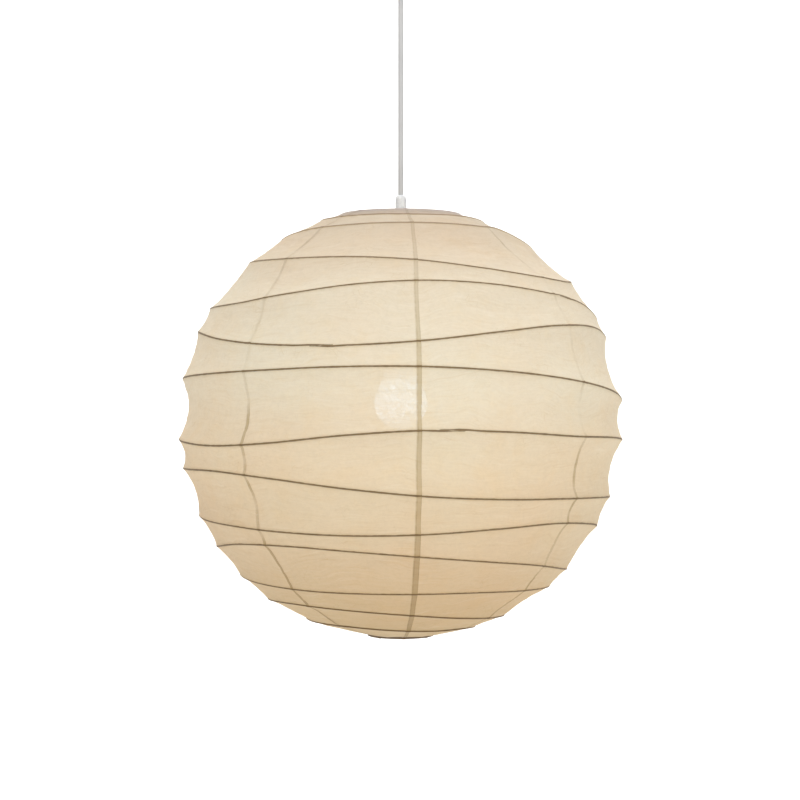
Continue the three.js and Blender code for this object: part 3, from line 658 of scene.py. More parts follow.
# ------------------------------------------------------------------ the lead, built first
LEAD_LOW, LEAD_HIGH = T + 4.7, BALL_Z - 0.7
lead_path = [(0, 0, LEAD_LOW + (LEAD_HIGH - LEAD_LOW) * k / 20) for k in range(21)]
lead = sweep("lead_flex", lead_path, 3.0, seg=32)
dress(lead, SHEATH, "lead", "lead")

# ------------------------------------------------------------------ the shell that the ribs lie on
def shell_at(z):
    z = np.asarray(z, float)
    r = np.full(z.shape, 250.0)
    for _ in range(6):
        r = np.interp(np.degrees(np.arccos(np.clip(z / r, -1, 1))), SHELL_ANGLE, SHELL_RHO)
    return np.sqrt(np.maximum(r * r - z * z, 0)), z


def rib_height(phi):
    phi = np.asarray(phi, float)
    u = (phi - RIB_START) / RIB_STEP
    n = len(RIB_Z)
    i = np.clip(np.floor(u).astype(int), 0, n - 2)
    t = u - i
    at = lambda k: RIB_Z[np.clip(k, 0, n - 1)]
    a, b, c, d = at(i - 1), at(i), at(i + 1), at(i + 2)
    return 0.5 * (2 * b + (c - a) * t + (2 * a - 5 * b + 4 * c - d) * t * t + (3 * b - a - 3 * c + d) * t ** 3)


def ramp01(x):
    x = np.clip(x, 0, 1)
    return x * x * (3 - 2 * x)


RIB_HALF = 1.1


def strip_offsets(phi):
    """at a helix angle: the half width of the rib's band, wider where two strips overlap at a splice"""
    phi = np.asarray(phi, float)
    half = np.full(phi.shape, RIB_HALF + 0.05)
    near = np.zeros(phi.shape)
    for s in SPLICES:
        w = 1 - np.clip((np.abs(phi - s) - LAP) / LAP_EASE, 0, 1)
        near = np.maximum(near, w)
    return half + near * (LAP_SHIFT + 0.1)


def band_edge(phi, d):
    """how far a point d mm up the shell from the rib's centre line lies outside the strip or strips there"""
    starts = [RIB_START + 0.6] + [s - LAP for s in SPLICES]
    ends = [s + LAP for s in SPLICES] + [RIB_START + 360 * RIB_TURNS - 0.6]
    best = np.full(np.shape(phi), 9.0)
    for k, (a, b) in enumerate(zip(starts, ends)):
        off = np.zeros(np.shape(phi))
        if k > 0:
            off -= SIDES[k - 1] * LAP_SHIFT * (1 - np.clip((phi - a - 2 * LAP) / LAP_EASE, 0, 1))
        if k < len(starts) - 1:
            off += SIDES[k] * LAP_SHIFT * (1 - np.clip((b - 2 * LAP - phi) / LAP_EASE, 0, 1))
        e = np.abs(d - off) - RIB_HALF * np.clip(np.minimum((phi - a) / (1.4 * LAP), (b - phi) / (1.4 * LAP)), 0.45, 1.0)
        e = np.where((phi < a) | (phi > b), 9.0, e)
        best = np.minimum(best, e)
    return best


def unit(v):
    return v / np.maximum(np.linalg.norm(v, axis=-1, keepdims=True), 1e-9)


# ------------------------------------------------------------------ paper gores
WRAP_R = 1.75
TOP_WIRE = np.array([RING_TOP_R, 232.8])
BOT_WIRE = np.array([RING_BOT_R, -241.6])
TOP_A, BOT_A = math.radians(18), math.radians(-6)
RIDGE_ANGLE, RIDGE = [0, 22, 45, 90, 135, 158, 180], [0.8, 0.75, 0.5, 0.3, 0.6, 1.1, 1.2]    # how far each rib lifts the sheet
LAPS = [2.4, 2.8, 2.2, 3.0, 4.3, 2.6, 2.6, 2.4, 2.4]      # lap width at each seam, mm
WANDER = [1.4, 1.6, 1.5, 2.0, 0.35, 1.9, 1.5, 1.6, 1.4]   # how far each seam strays from a meridian, mm


def hem_radius(a):
    """the bottom hem is rolled thicker on its outer, lower side"""
    return WRAP_R + 0.6 * math.exp(-((math.degrees(a) + 60) / 45) ** 2)


def seam_line(k, z):
    """millimetres that seam k lies to the right of its meridian at each height"""
    k = k % 8
    n = lambda f, s: hash_noise(np.stack([np.full(np.shape(z), k * 7.7 + 0.5), z * f, np.full(np.shape(z), 0.5)], -1), s)
    drift = {3: np.interp(z, [-240, -140, 0, 90, 150, 190, 235], [1.5, 0.5, 0, -1.5, -5, -8, -8]), 4: np.interp(z, [-240, 140, 165, 190, 215, 228], [0, 0.4, 1.5, 2.8, 2.8, 0.5]), 5: np.interp(z, [-240, -100, 0, 150, 235], [0, -1, 0, 1, 2])}.get(k, 0)
    return WANDER[k] * (0.75 * n(0.022, 31) + 0.5 * n(0.075, 32) + 0.3 * n(0.2, 33)) + drift




def arc(a, b, u, sag):
    """points from a to b that bow inwards by sag times their distance. a and b are (..., 2) of (radius, height)"""
    d = b - a
    gap = np.linalg.norm(d, axis=-1, keepdims=True)
    t = d / np.maximum(gap, 1e-9)
    inward = np.stack([t[..., 1], -t[..., 0]], -1)      # going down, inwards is this way
    s = (4 * u * (1 - u)) ** 0.92
    return a + d * u[..., None] + inward * (gap[..., 0] * sag * s)[..., None]


def rows_for(theta, first, last):
    """the meridian profile at each angle of theta: (rows, columns, 2) and, for each row, the turn index it belongs to and the distance from its rib"""
    nc = len(theta)
    blocks, edge_phi, edge_d, rims = [], [], [], []

    def put(points, phi=None, d=None, rim=0.0):
        blocks.append(np.array(points, float))
        edge_phi.append(np.full(nc, np.nan) if phi is None else phi)
        edge_d.append(np.full(nc, 99.0) if d is None else d)
        rims.append(np.full(nc, rim) if np.isscalar(rim) else rim)

    # flap inside the top ring, then over the wire
    start = math.radians(271)
    for k in range(5):
        t = k / 4
        p = TOP_WIRE + WRAP_R * np.array([math.cos(start), math.sin(start)]) + np.array([7.5, -4.3]) * (1 - t)
        put(np.broadcast_to(p, (nc, 2)), rim=10.0 * (1 - t))
    for k in range(1, 13):
        a = start + (TOP_A - start) * (k / 12)
        put(np.broadcast_to(TOP_WIRE + WRAP_R * np.array([math.cos(a), math.sin(a)]), (nc, 2)), rim=0.0)
    crest = []
    for k in range(RIB_TURNS):
        phi = theta + 360 * k
        z = rib_height(phi)
        r, _ = shell_at(z)
        crest.append((phi, np.stack([r, z], -1)))
    top = np.broadcast_to(TOP_WIRE + WRAP_R * np.array([math.cos(TOP_A), math.sin(TOP_A)]), (nc, 2))
    bot = np.broadcast_to(BOT_WIRE + hem_radius(BOT_A) * np.array([math.cos(BOT_A), math.sin(BOT_A)]), (nc, 2))

    def meridian(p):
        """unit tangent up the shell"""
        return unit(np.stack([-p[:, 1], p[:, 0]], -1))

    anchors = [(None, top, np.zeros(nc))]
    for phi, p in crest:
        anchors.append((phi, p, strip_offsets(phi)))
    anchors.append((None, bot, np.zeros(nc)))
    for i in range(len(anchors) - 1):
        pa, a, ha = anchors[i]
        pb, b, hb = anchors[i + 1]
        if pa is not None:
            ridge = np.interp(np.degrees(np.arctan2(a[:, 0], a[:, 1])), RIDGE_ANGLE, RIDGE)
            for f in (1.0, 0.72, 0.45, 0.2, 0.0, -0.2, -0.45, -0.72, -1.0):
                put(a + meridian(a) * (ha * f)[:, None] + unit(a) * (ridge * (1 - f * f) ** 0.8)[:, None], pa, ha * f, 45.0 if i in (1, RIB_TURNS) else 60.0)
        lo = a - meridian(a) * ha[:, None] if pa is not None else a
        hi = b + meridian(b) * hb[:, None] if pb is not None else b
        gap = np.linalg.norm(hi - lo, axis=-1)
        n = GAP_ROWS[i]
        middle = (lo + hi) / 2
        sag = np.interp(np.degrees(np.arctan2(middle[:, 0], middle[:, 1])), SAG_ANGLE, PAPER_SAG) * (1 + 0.16 * hash_noise(np.stack([np.sin(np.radians(theta)) * 2.2, np.cos(np.radians(theta)) * 2.2, np.full(nc, i * 3.7)], -1), 5))
        for k in range(1, n):
            t = k / n
            u = 0.55 * 0.5 * (1 - math.cos(math.pi * t)) + 0.45 * t
            uu = np.full(nc, u)
            p = arc(lo, hi, uu, sag)
            # where the rib starts or stops at a seam, the sheet still follows it a little way
            if i == 0 and last:
                w = ramp01((theta - (SEAMS[-1] - 14)) / 14)
                c = np.stack(shell_at(np.full(nc, RIB_Z[0])), -1)
                p = p * (1 - w[:, None]) + doubled(lo, c, hi, u, sag) * w[:, None]
            if i == len(anchors) - 2 and first:
                w = 1 - ramp01((theta - SEAMS[0]) / 14)
                c = np.stack(shell_at(np.full(nc, RIB_Z[-1])), -1)
                p = p * (1 - w[:, None]) + doubled(lo, c, hi, u, sag) * w[:, None]
            da, db = u * gap, (1 - u) * gap
            near_a = da < db
            if pa is None:
                phi_use, d_use = pb, (hb + db)
            elif pb is None:
                phi_use, d_use = pa, -(ha + da)
            else:
                phi_use = np.where(near_a, pa, pb)
                d_use = np.where(near_a, -(ha + da), hb + db)
            rim = np.full(nc, 60.0)
            if i == 0:
                rim = np.minimum(da, 30.0)
            elif i == len(anchors) - 2:
                rim = np.minimum(db, 30.0)
            put(p, phi_use, d_use, rim)
    stop = math.radians(-282)
    for k in range(0, 13):
        a = BOT_A + (stop - BOT_A) * (k / 12)
        put(np.broadcast_to(BOT_WIRE + hem_radius(a) * np.array([math.cos(a), math.sin(a)]), (nc, 2)), rim=0.0)
    for k in range(5):
        t = k / 4
        put(np.broadcast_to(BOT_WIRE + hem_radius(stop) * np.array([math.cos(stop), math.sin(stop)]) + np.array([8.0, 1.6]) * t, (nc, 2)), rim=10.0 * t)
    return np.array(blocks), np.array(edge_phi), np.array(edge_d), np.array(rims)


def doubled(lo, c, hi, u, sag):
    d1, d2 = np.linalg.norm(c - lo, axis=-1), np.linalg.norm(hi - c, axis=-1)
    u0 = d1 / (d1 + d2)
    p1 = arc(lo, c, np.clip(u / u0, 0, 1), sag)
    p2 = arc(c, hi, np.clip((u - u0) / (1 - u0), 0, 1), sag)
    return np.where((u < u0)[:, None], p1, p2)


gaps_mean = []
_t = np.linspace(SEAMS[0], SEAMS[-1], 60)
_z = [np.full(60, 235.0)] + [rib_height(_t + 360 * k) for k in range(RIB_TURNS)] + [np.full(60, -243.9)]
_p = [np.stack(shell_at(z), -1) for z in _z]
for i in range(len(_p) - 1):
    gaps_mean.append(float(np.linalg.norm(_p[i + 1] - _p[i], axis=-1).mean()))
GAP_ROWS = [int(np.clip(round(g / 2.6), 8, 26)) for g in gaps_mean]

COLS = 92
gores = []
for g in range(8):
    s0, s1 = SEAMS[g], SEAMS[g + 1]
    t = np.arange(COLS + 1) / COLS
    theta_main = s0 + (s1 - s0) * t
    lap_cols = 6
    theta = np.concatenate([theta_main, np.full(lap_cols, s1 - 1e-4)])
    if g == 7:
        theta = np.minimum(theta, s1 - 1e-4)
    P, ephi, ed, rim = rows_for(theta, g == 0, g == 7)
    nr, nc = P.shape[:2]
    R, Z = P[..., 0], P[..., 1]
    Rs = np.maximum(R, 20)
    # arc distance past the right-hand seam, and before it, in millimetres
    lapw = LAPS[g + 1] * (1 + 0.22 * hash_noise(np.stack([np.full(nr, g * 5.1), Z[:, -1] * 0.05, np.zeros(nr)], -1), 9)
                          + 0.10 * hash_noise(np.stack([np.full(nr, g * 5.1), Z[:, -1] * 0.22, np.zeros(nr)], -1), 10))
    if g == 3:
        lapw = np.interp(Z[:, -1], [-240, -170, -60, 0, 70, 240], [4.6, 5.4, 4.6, 3.9, 3.6, 3.2]) * (1 + 0.12 * hash_noise(np.stack([np.full(nr, 3.3), Z[:, -1] * 0.03, np.zeros(nr)], -1), 9))
    lapw = lapw * np.clip(Rs[:, -1] / 110.0, 0.7, 1.0)
    ang = np.radians(np.broadcast_to(theta, (nr, nc))).copy()
    off = np.zeros((nr, nc))
    for j in range(lap_cols):
        off[:, COLS + 1 + j] = lapw * (j + 1) / lap_cols
    ang += off / Rs
    past = off.copy()                                   # mm past the seam
    before = (np.radians(s1) - np.radians(np.broadcast_to(theta, (nr, nc)))) * Rs
    from_left = (np.radians(np.broadcast_to(theta, (nr, nc))) - np.radians(s0)) * Rs
    lift = 0.28 * np.where(past > 0, 1.0, ramp01(1 - before / 3.5))
    # the sheet's own unevenness, zero on the ribs, the same on both sides of a seam
    x3, y3 = Rs * np.sin(ang), -Rs * np.cos(ang)
    pts = np.stack([x3, y3, Z], -1).reshape(-1, 3)
    free = np.clip((np.abs(ed) - 1.5) / 9.0, 0, 1)
    free = np.where(np.isnan(ephi), 0, free)
    swell = hash_noise(pts / np.array([46.0, 46.0, 22.0]), 1) * 0.75 + hash_noise(pts / np.array([21.0, 21.0, 9.0]), 2) * 0.32
    crease = (1 - np.abs(hash_noise(pts / np.array([34.0, 34.0, 7.5]), 3))) ** 4
    pucker_w = np.clip(1 - np.abs(np.abs(ed) - 3.0) / 10.0, 0, 1)
    pucker = hash_noise(np.stack([np.degrees(ang).ravel() * (Rs.ravel() / 57.3) / 6.5, np.where(np.isnan(ephi), 0, ephi).ravel() // 360, np.zeros(ang.size)], -1), 4)
    wav = (swell + 0.55 * (crease - 0.3)).reshape(nr, nc) * free + 0.22 * pucker.reshape(nr, nc) * pucker_w * np.clip(np.abs(ed) - 1.2, 0, 1) * (~np.isnan(ephi))
    # tangent up the profile, to find the outward direction in the (radius, height) plane
    dR, dZ = np.gradient(R, axis=0), np.gradient(Z, axis=0)
    ln = np.maximum(np.hypot(dR, dZ), 1e-9)
    nR, nZ = -dZ / ln, dR / ln
    move = wav + lift
    R2, Z2 = R + nR * move, Z + nZ * move
    fade_r = ramp01(1 - np.minimum(np.abs(before), 45) / 45)
    fade_l = ramp01(1 - np.minimum(np.abs(from_left), 45) / 45) * (past <= 0)
    free_rows = ((np.arange(nr) > 16) & (np.arange(nr) < nr - 18)).astype(float)[:, None]
    shift = seam_line(g + 1, Z[:, COLS])[:, None] * fade_r + seam_line(g, Z[:, 0])[:, None] * fade_l
    a2 = ang + shift * free_rows * np.clip(Rs / 120.0, 0.3, 1) / Rs
    verts = np.stack([R2 * np.sin(a2), -R2 * np.cos(a2), Z2 + CENTRE_Z], -1).reshape(-1, 3)
    edge = np.where(np.isnan(ephi), 9.0, band_edge(np.nan_to_num(ephi), ed))
    # how strongly each lap's painted shade is drawn at each height, strongest low down
    def strength(k):
        if k % 8 == 4:
            n = hash_noise(np.stack([np.full(nr, 4.4), Z[:, 0] * 0.05, np.zeros(nr)], -1), 43)
            return np.interp(Z[:, 0], [-240, 20, 90, 150, 240], [1.0, 0.9, 0.75, 0.5, 0.42]) * (1 + 0.12 * n)
        n = hash_noise(np.stack([np.full(nr, k * 3.1), Z[:, 0] * 0.035, np.zeros(nr)], -1), 41) + 0.6 * hash_noise(np.stack([np.full(nr, k * 3.1), Z[:, 0] * 0.11, np.zeros(nr)], -1), 42)
        low = np.interp(Z[:, 0], [-240, -120, -20, 20, 240], [0.85, 0.8, 0.55, 0.26, 0.22])
        return np.clip(low + 0.6 * n, 0.05, 1.0)
    sr = strength(g + 1)[:, None]
    lap_attr = np.where(past > 0, sr, np.where(before < 0.25, sr, 0.0))
    lap_edge = np.maximum(ramp01(1 - np.abs(past - lapw[:, None]) / 0.9) * (past > 0), ramp01(1 - before / 0.7) * (past <= 0)) * sr
    near_seam = np.full((nr, nc), 99.0)
    if g != 3:
        near_seam = np.minimum(near_seam, np.abs(before + past))
    if g != 4:
        near_seam = np.minimum(near_seam, from_left)
    fleck = np.clip(1 - near_seam / 9.0, 0, 1)
    faces = grid_faces(nr, nc)[:, ::-1]
    ob = mesh_from("paper_sheet_%d" % (g + 1), verts, faces, attrs={
        "rib_edge": np.clip(edge, -3, 9).ravel(), "lap": lap_attr.ravel(), "lap_edge": lap_edge.ravel(), "hem": rim.ravel(), "fleck": fleck.ravel(),
    })
    dress(ob, PAPER, "lantern", "paper_gore_%d" % (g + 1))
    area = sum(p.area for p in ob.data.polygons)
    gores.append(ob)
    print("gore", g + 1, "rows", nr, "cols", nc, "area", round(area, 4))

# ------------------------------------------------------------------ bamboo strips
starts = [RIB_START + 0.6] + [s - LAP for s in SPLICES]
ends = [s + LAP for s in SPLICES] + [RIB_START + 360 * RIB_TURNS - 0.6]
for k, (a, b) in enumerate(zip(starts, ends)):
    n = int((b - a) / 1.6) + 2
    phi = np.linspace(a, b, n)
    off = np.zeros(n)
    if k > 0:
        off -= SIDES[k - 1] * LAP_SHIFT * (1 - np.clip((phi - a - 2 * LAP) / LAP_EASE, 0, 1))
    if k < len(starts) - 1:
        off += SIDES[k] * LAP_SHIFT * (1 - np.clip((b - 2 * LAP - phi) / LAP_EASE, 0, 1))
    z = rib_height(phi)
    r, _ = shell_at(z)
    p2 = np.stack([r, z], -1)
    out2 = unit(p2)
    up2 = unit(np.stack([-p2[:, 1], p2[:, 0]], -1))
    s_len = np.concatenate([[0], np.cumsum(np.hypot(np.diff(r), np.diff(z)) + np.radians(np.diff(phi)) * r[1:])])
    node_at = 60 + 170 * k % 90
    knot = np.exp(-(((s_len - node_at) % 215.0 - 107.5) / 3.2) ** 2)
    taper = np.clip(np.minimum(phi - a, b - phi) / 0.8, 0.35, 1)
    slim = np.clip(np.minimum(phi - a, b - phi) / (1.4 * LAP), 0.45, 1.0)
    w = RIB_HALF * (1 + 0.06 * hash_noise(np.stack([s_len / 40, np.full(n, k * 3.0), np.zeros(n)], -1), 21)) * slim + 0.22 * knot
    th = 0.66 * taper * (1 + 0.10 * hash_noise(np.stack([s_len / 30, np.full(n, k * 7.0), np.zeros(n)], -1), 22)) + 0.16 * knot
    lift = 0.8 * np.interp(np.degrees(np.arctan2(p2[:, 0], p2[:, 1])), RIDGE_ANGLE, RIDGE)
    # rounded outer face, flat split face inside
    sec = [(-0.92, -0.95), (-0.3, -1.0), (0.3, -1.0), (0.92, -0.95), (1.0, -0.2), (0.97, 0.45), (0.72, 0.86), (0.0, 1.0), (-0.72, 0.86), (-0.97, 0.45), (-1.0, -0.2)]
    rings = []
    for su, so in sec:
        c2 = p2 + out2 * (-0.30 - 0.66 + lift + th * so)[:, None] + up2 * (off + w * su)[:, None]
        aa = np.radians(phi)
        rings.append(np.stack([c2[:, 0] * np.sin(aa), -c2[:, 0] * np.cos(aa), c2[:, 1] + CENTRE_Z], -1))
    v = np.stack(rings, 1).reshape(-1, 3)
    m = len(sec)
    faces = [tuple(f) for f in grid_faces(n, m, wrap=True)]
    faces += [tuple(range(m - 1, -1, -1)), tuple(range((n - 1) * m, n * m))]
    ob = outward(mesh_from("rib_bamboo_%02d" % (k + 1), v, faces, attrs={"node": np.repeat(knot, m)}, sharp=55))
    dress(ob, BAMBOO, "lantern", "rib_strip_%02d" % (k + 1))

# ------------------------------------------------------------------ rings
def ring(name, R, z, node):
    a = np.linspace(0, 2 * math.pi, 181)[:-1]
    sec = np.linspace(0, 2 * math.pi, 17)[:-1]
    v = []
    for t in a:
        for s in sec:
            rr = R + RING_WIRE_R * math.cos(s)
            v.append((rr * math.cos(t), rr * math.sin(t), z + RING_WIRE_R * math.sin(s)))
    n, m = len(a), len(sec)
    f = [(i * m + j, i * m + (j + 1) % m, ((i + 1) % n) * m + (j + 1) % m, ((i + 1) % n) * m + j) for i in range(n) for j in range(m)]
    body = outward(mesh_from(name + "_wire", v, f, sharp=80))
    # the butt weld that closes the ring
    a0 = math.radians(200)
    bead = [(R * math.cos(a0 + d / R), R * math.sin(a0 + d / R), z) for d in np.linspace(-2.2, 2.2, 9)]
    w = sweep(name + "_weld", bead, [1.3, 1.52, 1.60, 1.64, 1.65, 1.64, 1.60, 1.52, 1.3], seg=14)
    ob = join(name, [body, w])
    dress(ob, ZINC, "lantern", node)
    return ob


ring("top_ring_wire", RING_TOP_R, RING_TOP_Z, "top_ring")
ring("bottom_ring_wire", RING_BOT_R, RING_BOT_Z, "bottom_ring")


def thread(pitch, depth):
    return lambda a, r, z: depth * np.cos(a - 2 * math.pi * z / pitch)


# ------------------------------------------------------------------ grip, tube, nuts
grip_side = [(6.33 - 0.16 * (0.5 - 0.5 * math.cos(2 * math.pi * k / 8)), T + 18.0 - 0.25 * k) for k in range(0, 45)]
grip_profile = [(3.5, T + 23.1), (3.7, T + 23.35), (4.2, T + 23.4), (4.75, T + 23.15), (5.25, T + 22.65), (5.65, T + 21.9), (5.95, T + 20.95), (6.17, T + 19.8), (6.3, T + 18.7)] + grip_side + [
    (6.33, T + 6.6), (6.33, T - 1.2), (6.1, T - 1.45), (5.5, T - 1.45), (5.4, T - 1.3), (5.4, T + 5.2), (3.5, T + 5.2)]
grip = turned("grip_body", grip_profile, 96, ripple=lambda a, r, z: np.where((r > 5.6) & (z < T + 6.0) & (z > T - 1.0), -0.16 * (1 + np.cos(a * 18)), 0.0), sharp=40)
dress(grip, NYLON, "lantern", "cord_grip")
gs = turned("grip_screw_body", rounded([(0, 3.6), (1.35, 3.6), (1.35, 6.65), (2.35, 6.65), (2.35, 8.1), (1.9, 8.6), (0, 8.6)], 0.25, 2), 40, axis="Y", at=(0, 0, T + 8.6))
slot_cut = soft_box("slot_cut", (-3, 8.0, T + 8.25), (3, 9.2, T + 8.95), 0.02, 1)
cut(gs, slot_cut)
dress(gs, NYLON, "lantern", "grip_screw")

tube_rows = [(4.86, T + 4.0 - 0.125 * i) for i in range(0, int(111 / 0.125) + 1)]
tube = turned("tube_body", tube_rows + [(3.5, T - 107), (3.5, T + 4)], 28, ripple=lambda a, r, z: np.where(r > 4, 0.14 * np.cos(a - 2 * math.pi * z / 1.0), 0.0), sharp=60)
dress(tube, YELLOW, "lantern", "threaded_tube")
inner = sweep("lead_inside_tube", [(0, 0, T - 109.5 + 113.8 * k / 8) for k in range(9)], 2.95, seg=24)
dress(inner, SHEATH, "lantern", "lead_inner")


def hex_nut(name, z0, z1, flats, body, node):
    """a hexagon with its corners chamfered by a cone, as a turned nut has"""
    rc = flats / math.sqrt(3)
    seg = 72
    a = np.arange(seg) / seg * 2 * math.pi
    hexr = (flats / 2) / np.cos((a + math.pi / 6) % (math.pi / 3) - math.pi / 6)
    rows = []
    mid = (z0 + z1) / 2
    for z, lim in ((z0, flats / 2 - 0.35), (z0 + 0.25, flats / 2 + 0.1), (z0 + 0.75, rc), (mid, rc), (z1 - 0.75, rc), (z1 - 0.25, flats / 2 + 0.1), (z1, flats / 2 - 0.35)):
        rr = np.minimum(hexr, lim)
        rows.append(np.stack([rr * np.cos(a), rr * np.sin(a), np.full(seg, z)], -1))
    for z, r in ((z1, 5.75), (z1 - 0.4, 5.36), (z0 + 0.4, 5.36), (z0, 5.75)):
        rows.append(np.stack([r * np.cos(a), r * np.sin(a), np.full(seg, z)], -1))
    v = np.concatenate(rows)
    n = len(rows)
    f = [(i * seg + j, i * seg + (j + 1) % seg, ((i + 1) % n) * seg + (j + 1) % seg, ((i + 1) % n) * seg + j) for i in range(n) for j in range(seg)]
    ob = outward(mesh_from(name, v, f, sharp=25))
    dress(ob, YELLOW, body, node)


hex_nut("lock_nut_body", T - 7.6, T - 3.6, 14, "lantern", "lock_nut")
hex_nut("holder_nut_body", T - 105.1, T - 101.6, 13, "lantern", "holder_nut")

# ------------------------------------------------------------------ lampholder
cap = turned("holder_cap_body", rounded([
    (5.4, T - 98), (8.4, T - 98), (10.6, T - 98.6), (13, T - 99.8), (15.4, T - 101.4), (17.4, T - 103.8), (18.9, T - 106.6), (19.6, T - 109.4), (19.98, T - 114), (19.98, T - 121.9),
    (18, T - 121.9), (18, T - 114), (17.4, T - 109.6), (15.6, T - 105.4), (12, T - 102.2), (8.5, T - 101.2), (5.4, T - 101.2)], 0.35, 2), 108,
    ripple=lambda a, r, z: np.where((r > 19.3) & (z < T - 110.5), -0.22 * (0.5 + 0.5 * np.cos(a * 36)), 0.0), sharp=40)
dress(cap, WHITE, "lantern", "holder_cap")
shell_prof = []
for z in np.arange(-122.6, -158.0, -0.6):
    shell_prof.append((19.98, T + z))
shell_prof = [(19.6, T - 122.4)] + shell_prof + [(19.7, T - 159.5), (19.0, T - 162.2), (18.6, T - 163.0), (15.2, T - 163.0), (14.6, T - 162.4)]
zz = -162.0
inner_rows = []
while zz < -128.0:
    inner_rows.append((14.42, T + zz))
    zz += 0.45
shell_prof += inner_rows + [(14.42, T - 127.2), (18.0, T - 127.0), (18.0, T - 122.4)]
shell = turned("holder_shell_body", shell_prof, 108, ripple=lambda a, r, z: np.where(
    (r > 19.9) & (z > T - 141), -0.30 * (0.5 + 0.5 * np.cos(a * 36)) * min(1.0, max(0.0, (z - (T - 141)) / 1.2), max(0.0, ((T - 123.2) - z) / 0.8 + 0.0)),
    np.where((abs(r - 14.42) < 0.01), 0.30 * np.cos(a + 2 * math.pi * z / 3.629) + 0.30, 0.0)), sharp=45)
dress(shell, WHITE, "lantern", "holder_shell")
insert = turned("holder_insert_body", rounded([(0, T - 113.05), (5.5, T - 113.05), (6, T - 114.4), (14.2, T - 114.4), (15, T - 113.1), (15.7, T - 113.1), (17.25, T - 114.7), (17.25, T - 126.5), (0, T - 126.5)], 0.3, 2), 72)
for sx in (-9, 9):
    c = turned("cutter", [(0, T - 110), (1.9, T - 110), (1.9, T - 117.5), (0, T - 117.5)], 24, at=(sx, 0, 0))
    cut(insert, c)
insert.data.set_sharp_from_angle(angle=math.radians(40))
dress(insert, CERAMIC, "lantern", "holder_insert")
cc = turned("centre_contact_body", rounded([(0, T - 127.0), (4.9, T - 127.0), (4.9, T - 127.7), (3.2, T - 128.6), (2.5, T - 129.8), (2.5, T - 133.2), (1.6, T - 133.88), (0, T - 133.88)], 0.2, 2), 40)
dress(cc, BRASS, "lantern", "holder_centre_contact")
sidec = soft_box("side_contact_body", (13.5, -1.5, T - 140), (13.94, 1.5, T - 127.1), 0.12, 2)
dress(sidec, BRASS, "lantern", "holder_side_contact")

# ------------------------------------------------------------------ lamp
lc = turned("lamp_contact_body", rounded([(0, T - 134.3), (2.4, T - 134.32), (3.9, T - 134.6), (4.6, T - 135.05), (4.6, T - 135.4), (0, T - 135.4)], 0.15, 2), 48)
dress(lc, NICKEL, "lamp_screw_travel", "lamp_centre_contact")
ins = turned("lamp_insulator_body", rounded([(0, T - 135.65), (5.3, T - 135.65), (6.6, T - 136.2), (9.4, T - 137.5), (11.5, T - 138.5), (11.6, T - 139.2), (0, T - 139.2)], 0.25, 3), 64)
dress(ins, VITRITE, "lamp", "lamp_insulator")
rows = [(11.5, T - 140.05), (12.1, T - 139.55), (12.7, T - 139.8), (12.95, T - 140.7)]
z = -141.2
while z > -160.4:
    rows.append((12.86, T + z))
    z -= 0.3
rows += [(12.95, T - 161.0), (13.15, T - 162.0), (13.19, T - 163.05), (12.6, T - 163.05), (12.4, T - 161.5), (12.2, T - 141.4), (11.5, T - 140.4)]
lcap = turned("lamp_cap_body", rows, 84, ripple=lambda a, r, z: np.where(abs(r - 12.86) < 0.01, 0.32 * np.cos(a + 2 * math.pi * z / 3.629), 0.0), sharp=50)
dress(lcap, NICKEL, "lamp", "lamp_cap")
hs = turned("lamp_housing_body", rounded([
    (13.5, T - 163.4), (13.9, T - 164.6), (14.6, T - 168), (16.2, T - 173), (18.1, T - 178), (20.1, T - 183), (22.1, T - 188), (23.8, T - 192.3), (25.05, T - 195.7), (24.9, T - 196),
    (23.7, T - 196), (20.7, T - 188.3), (16.7, T - 178.4), (13.2, T - 168.4), (12.1, T - 163.4)], 0.25, 2), 96,
    ripple=lambda a, r, z: np.where((r > 15) & (z < T - 167.5) & (z > T - 190) & (r > 14.0 + (T - 165 - z) * 0.33), -0.20 * (0.5 + 0.5 * np.cos(a * 24)), 0.0), sharp=45)
# the neck carries the painted glow
dress(hs, NECK_PAINTED_GLOW, "lamp", "lamp_housing")
LR, LC = 30.0, -212.0
a_top, b_top = math.asin(15.7 / LR), math.asin(15.7 / (LR - 1.3))
outer = [(LR * math.cos(a), T + LC + LR * math.sin(a)) for a in np.linspace(a_top, -math.pi / 2, 40)]
inner_ = [((LR - 1.3) * math.cos(a), T + LC + (LR - 1.3) * math.sin(a)) for a in np.linspace(-math.pi / 2, b_top, 32)]
outer[-1] = (0, outer[-1][1])
inner_[0] = (0, inner_[0][1])
verts = outer + inner_
# the outer and inner skins, joined across the lip at the top, make one profile with both poles on the axis at its ends;
# it is turned once
globe = turned("lamp_globe", outer[::-1] + [(outer[0][0] - 0.6, outer[0][1] + 0.05)] + inner_[::-1][:1] + inner_[::-1][1:], 96, closed=False, sharp=60)
dress(globe, OPAL, "lamp", "lamp_diffuser")
board = turned("led_board_body", rounded([(0, T - 192.6), (21.5, T - 192.6), (21.5, T - 194.0), (0, T - 194.0)], 0.15, 2), 72)
chips = [board]
for k in range(12):
    t = 2 * math.pi * k / 12
    x, y = 14.5 * math.cos(t), 14.5 * math.sin(t)
    chips.append(soft_box("chip", (x - 1.4, y - 1.4, T - 194.2), (x + 1.4, y + 1.4, T - 193.9), 0.08, 1))
board = join("led_board_body", chips)
dress(board, LEDWHITE, "lamp", "lamp_led_board")
parts = [soft_box("pcb", (-8, -0.8, T - 188), (8, 0.8, T - 146), 0.1, 1)]
driver = parts[0]
dress(driver, GREEN, "lamp", "lamp_driver")

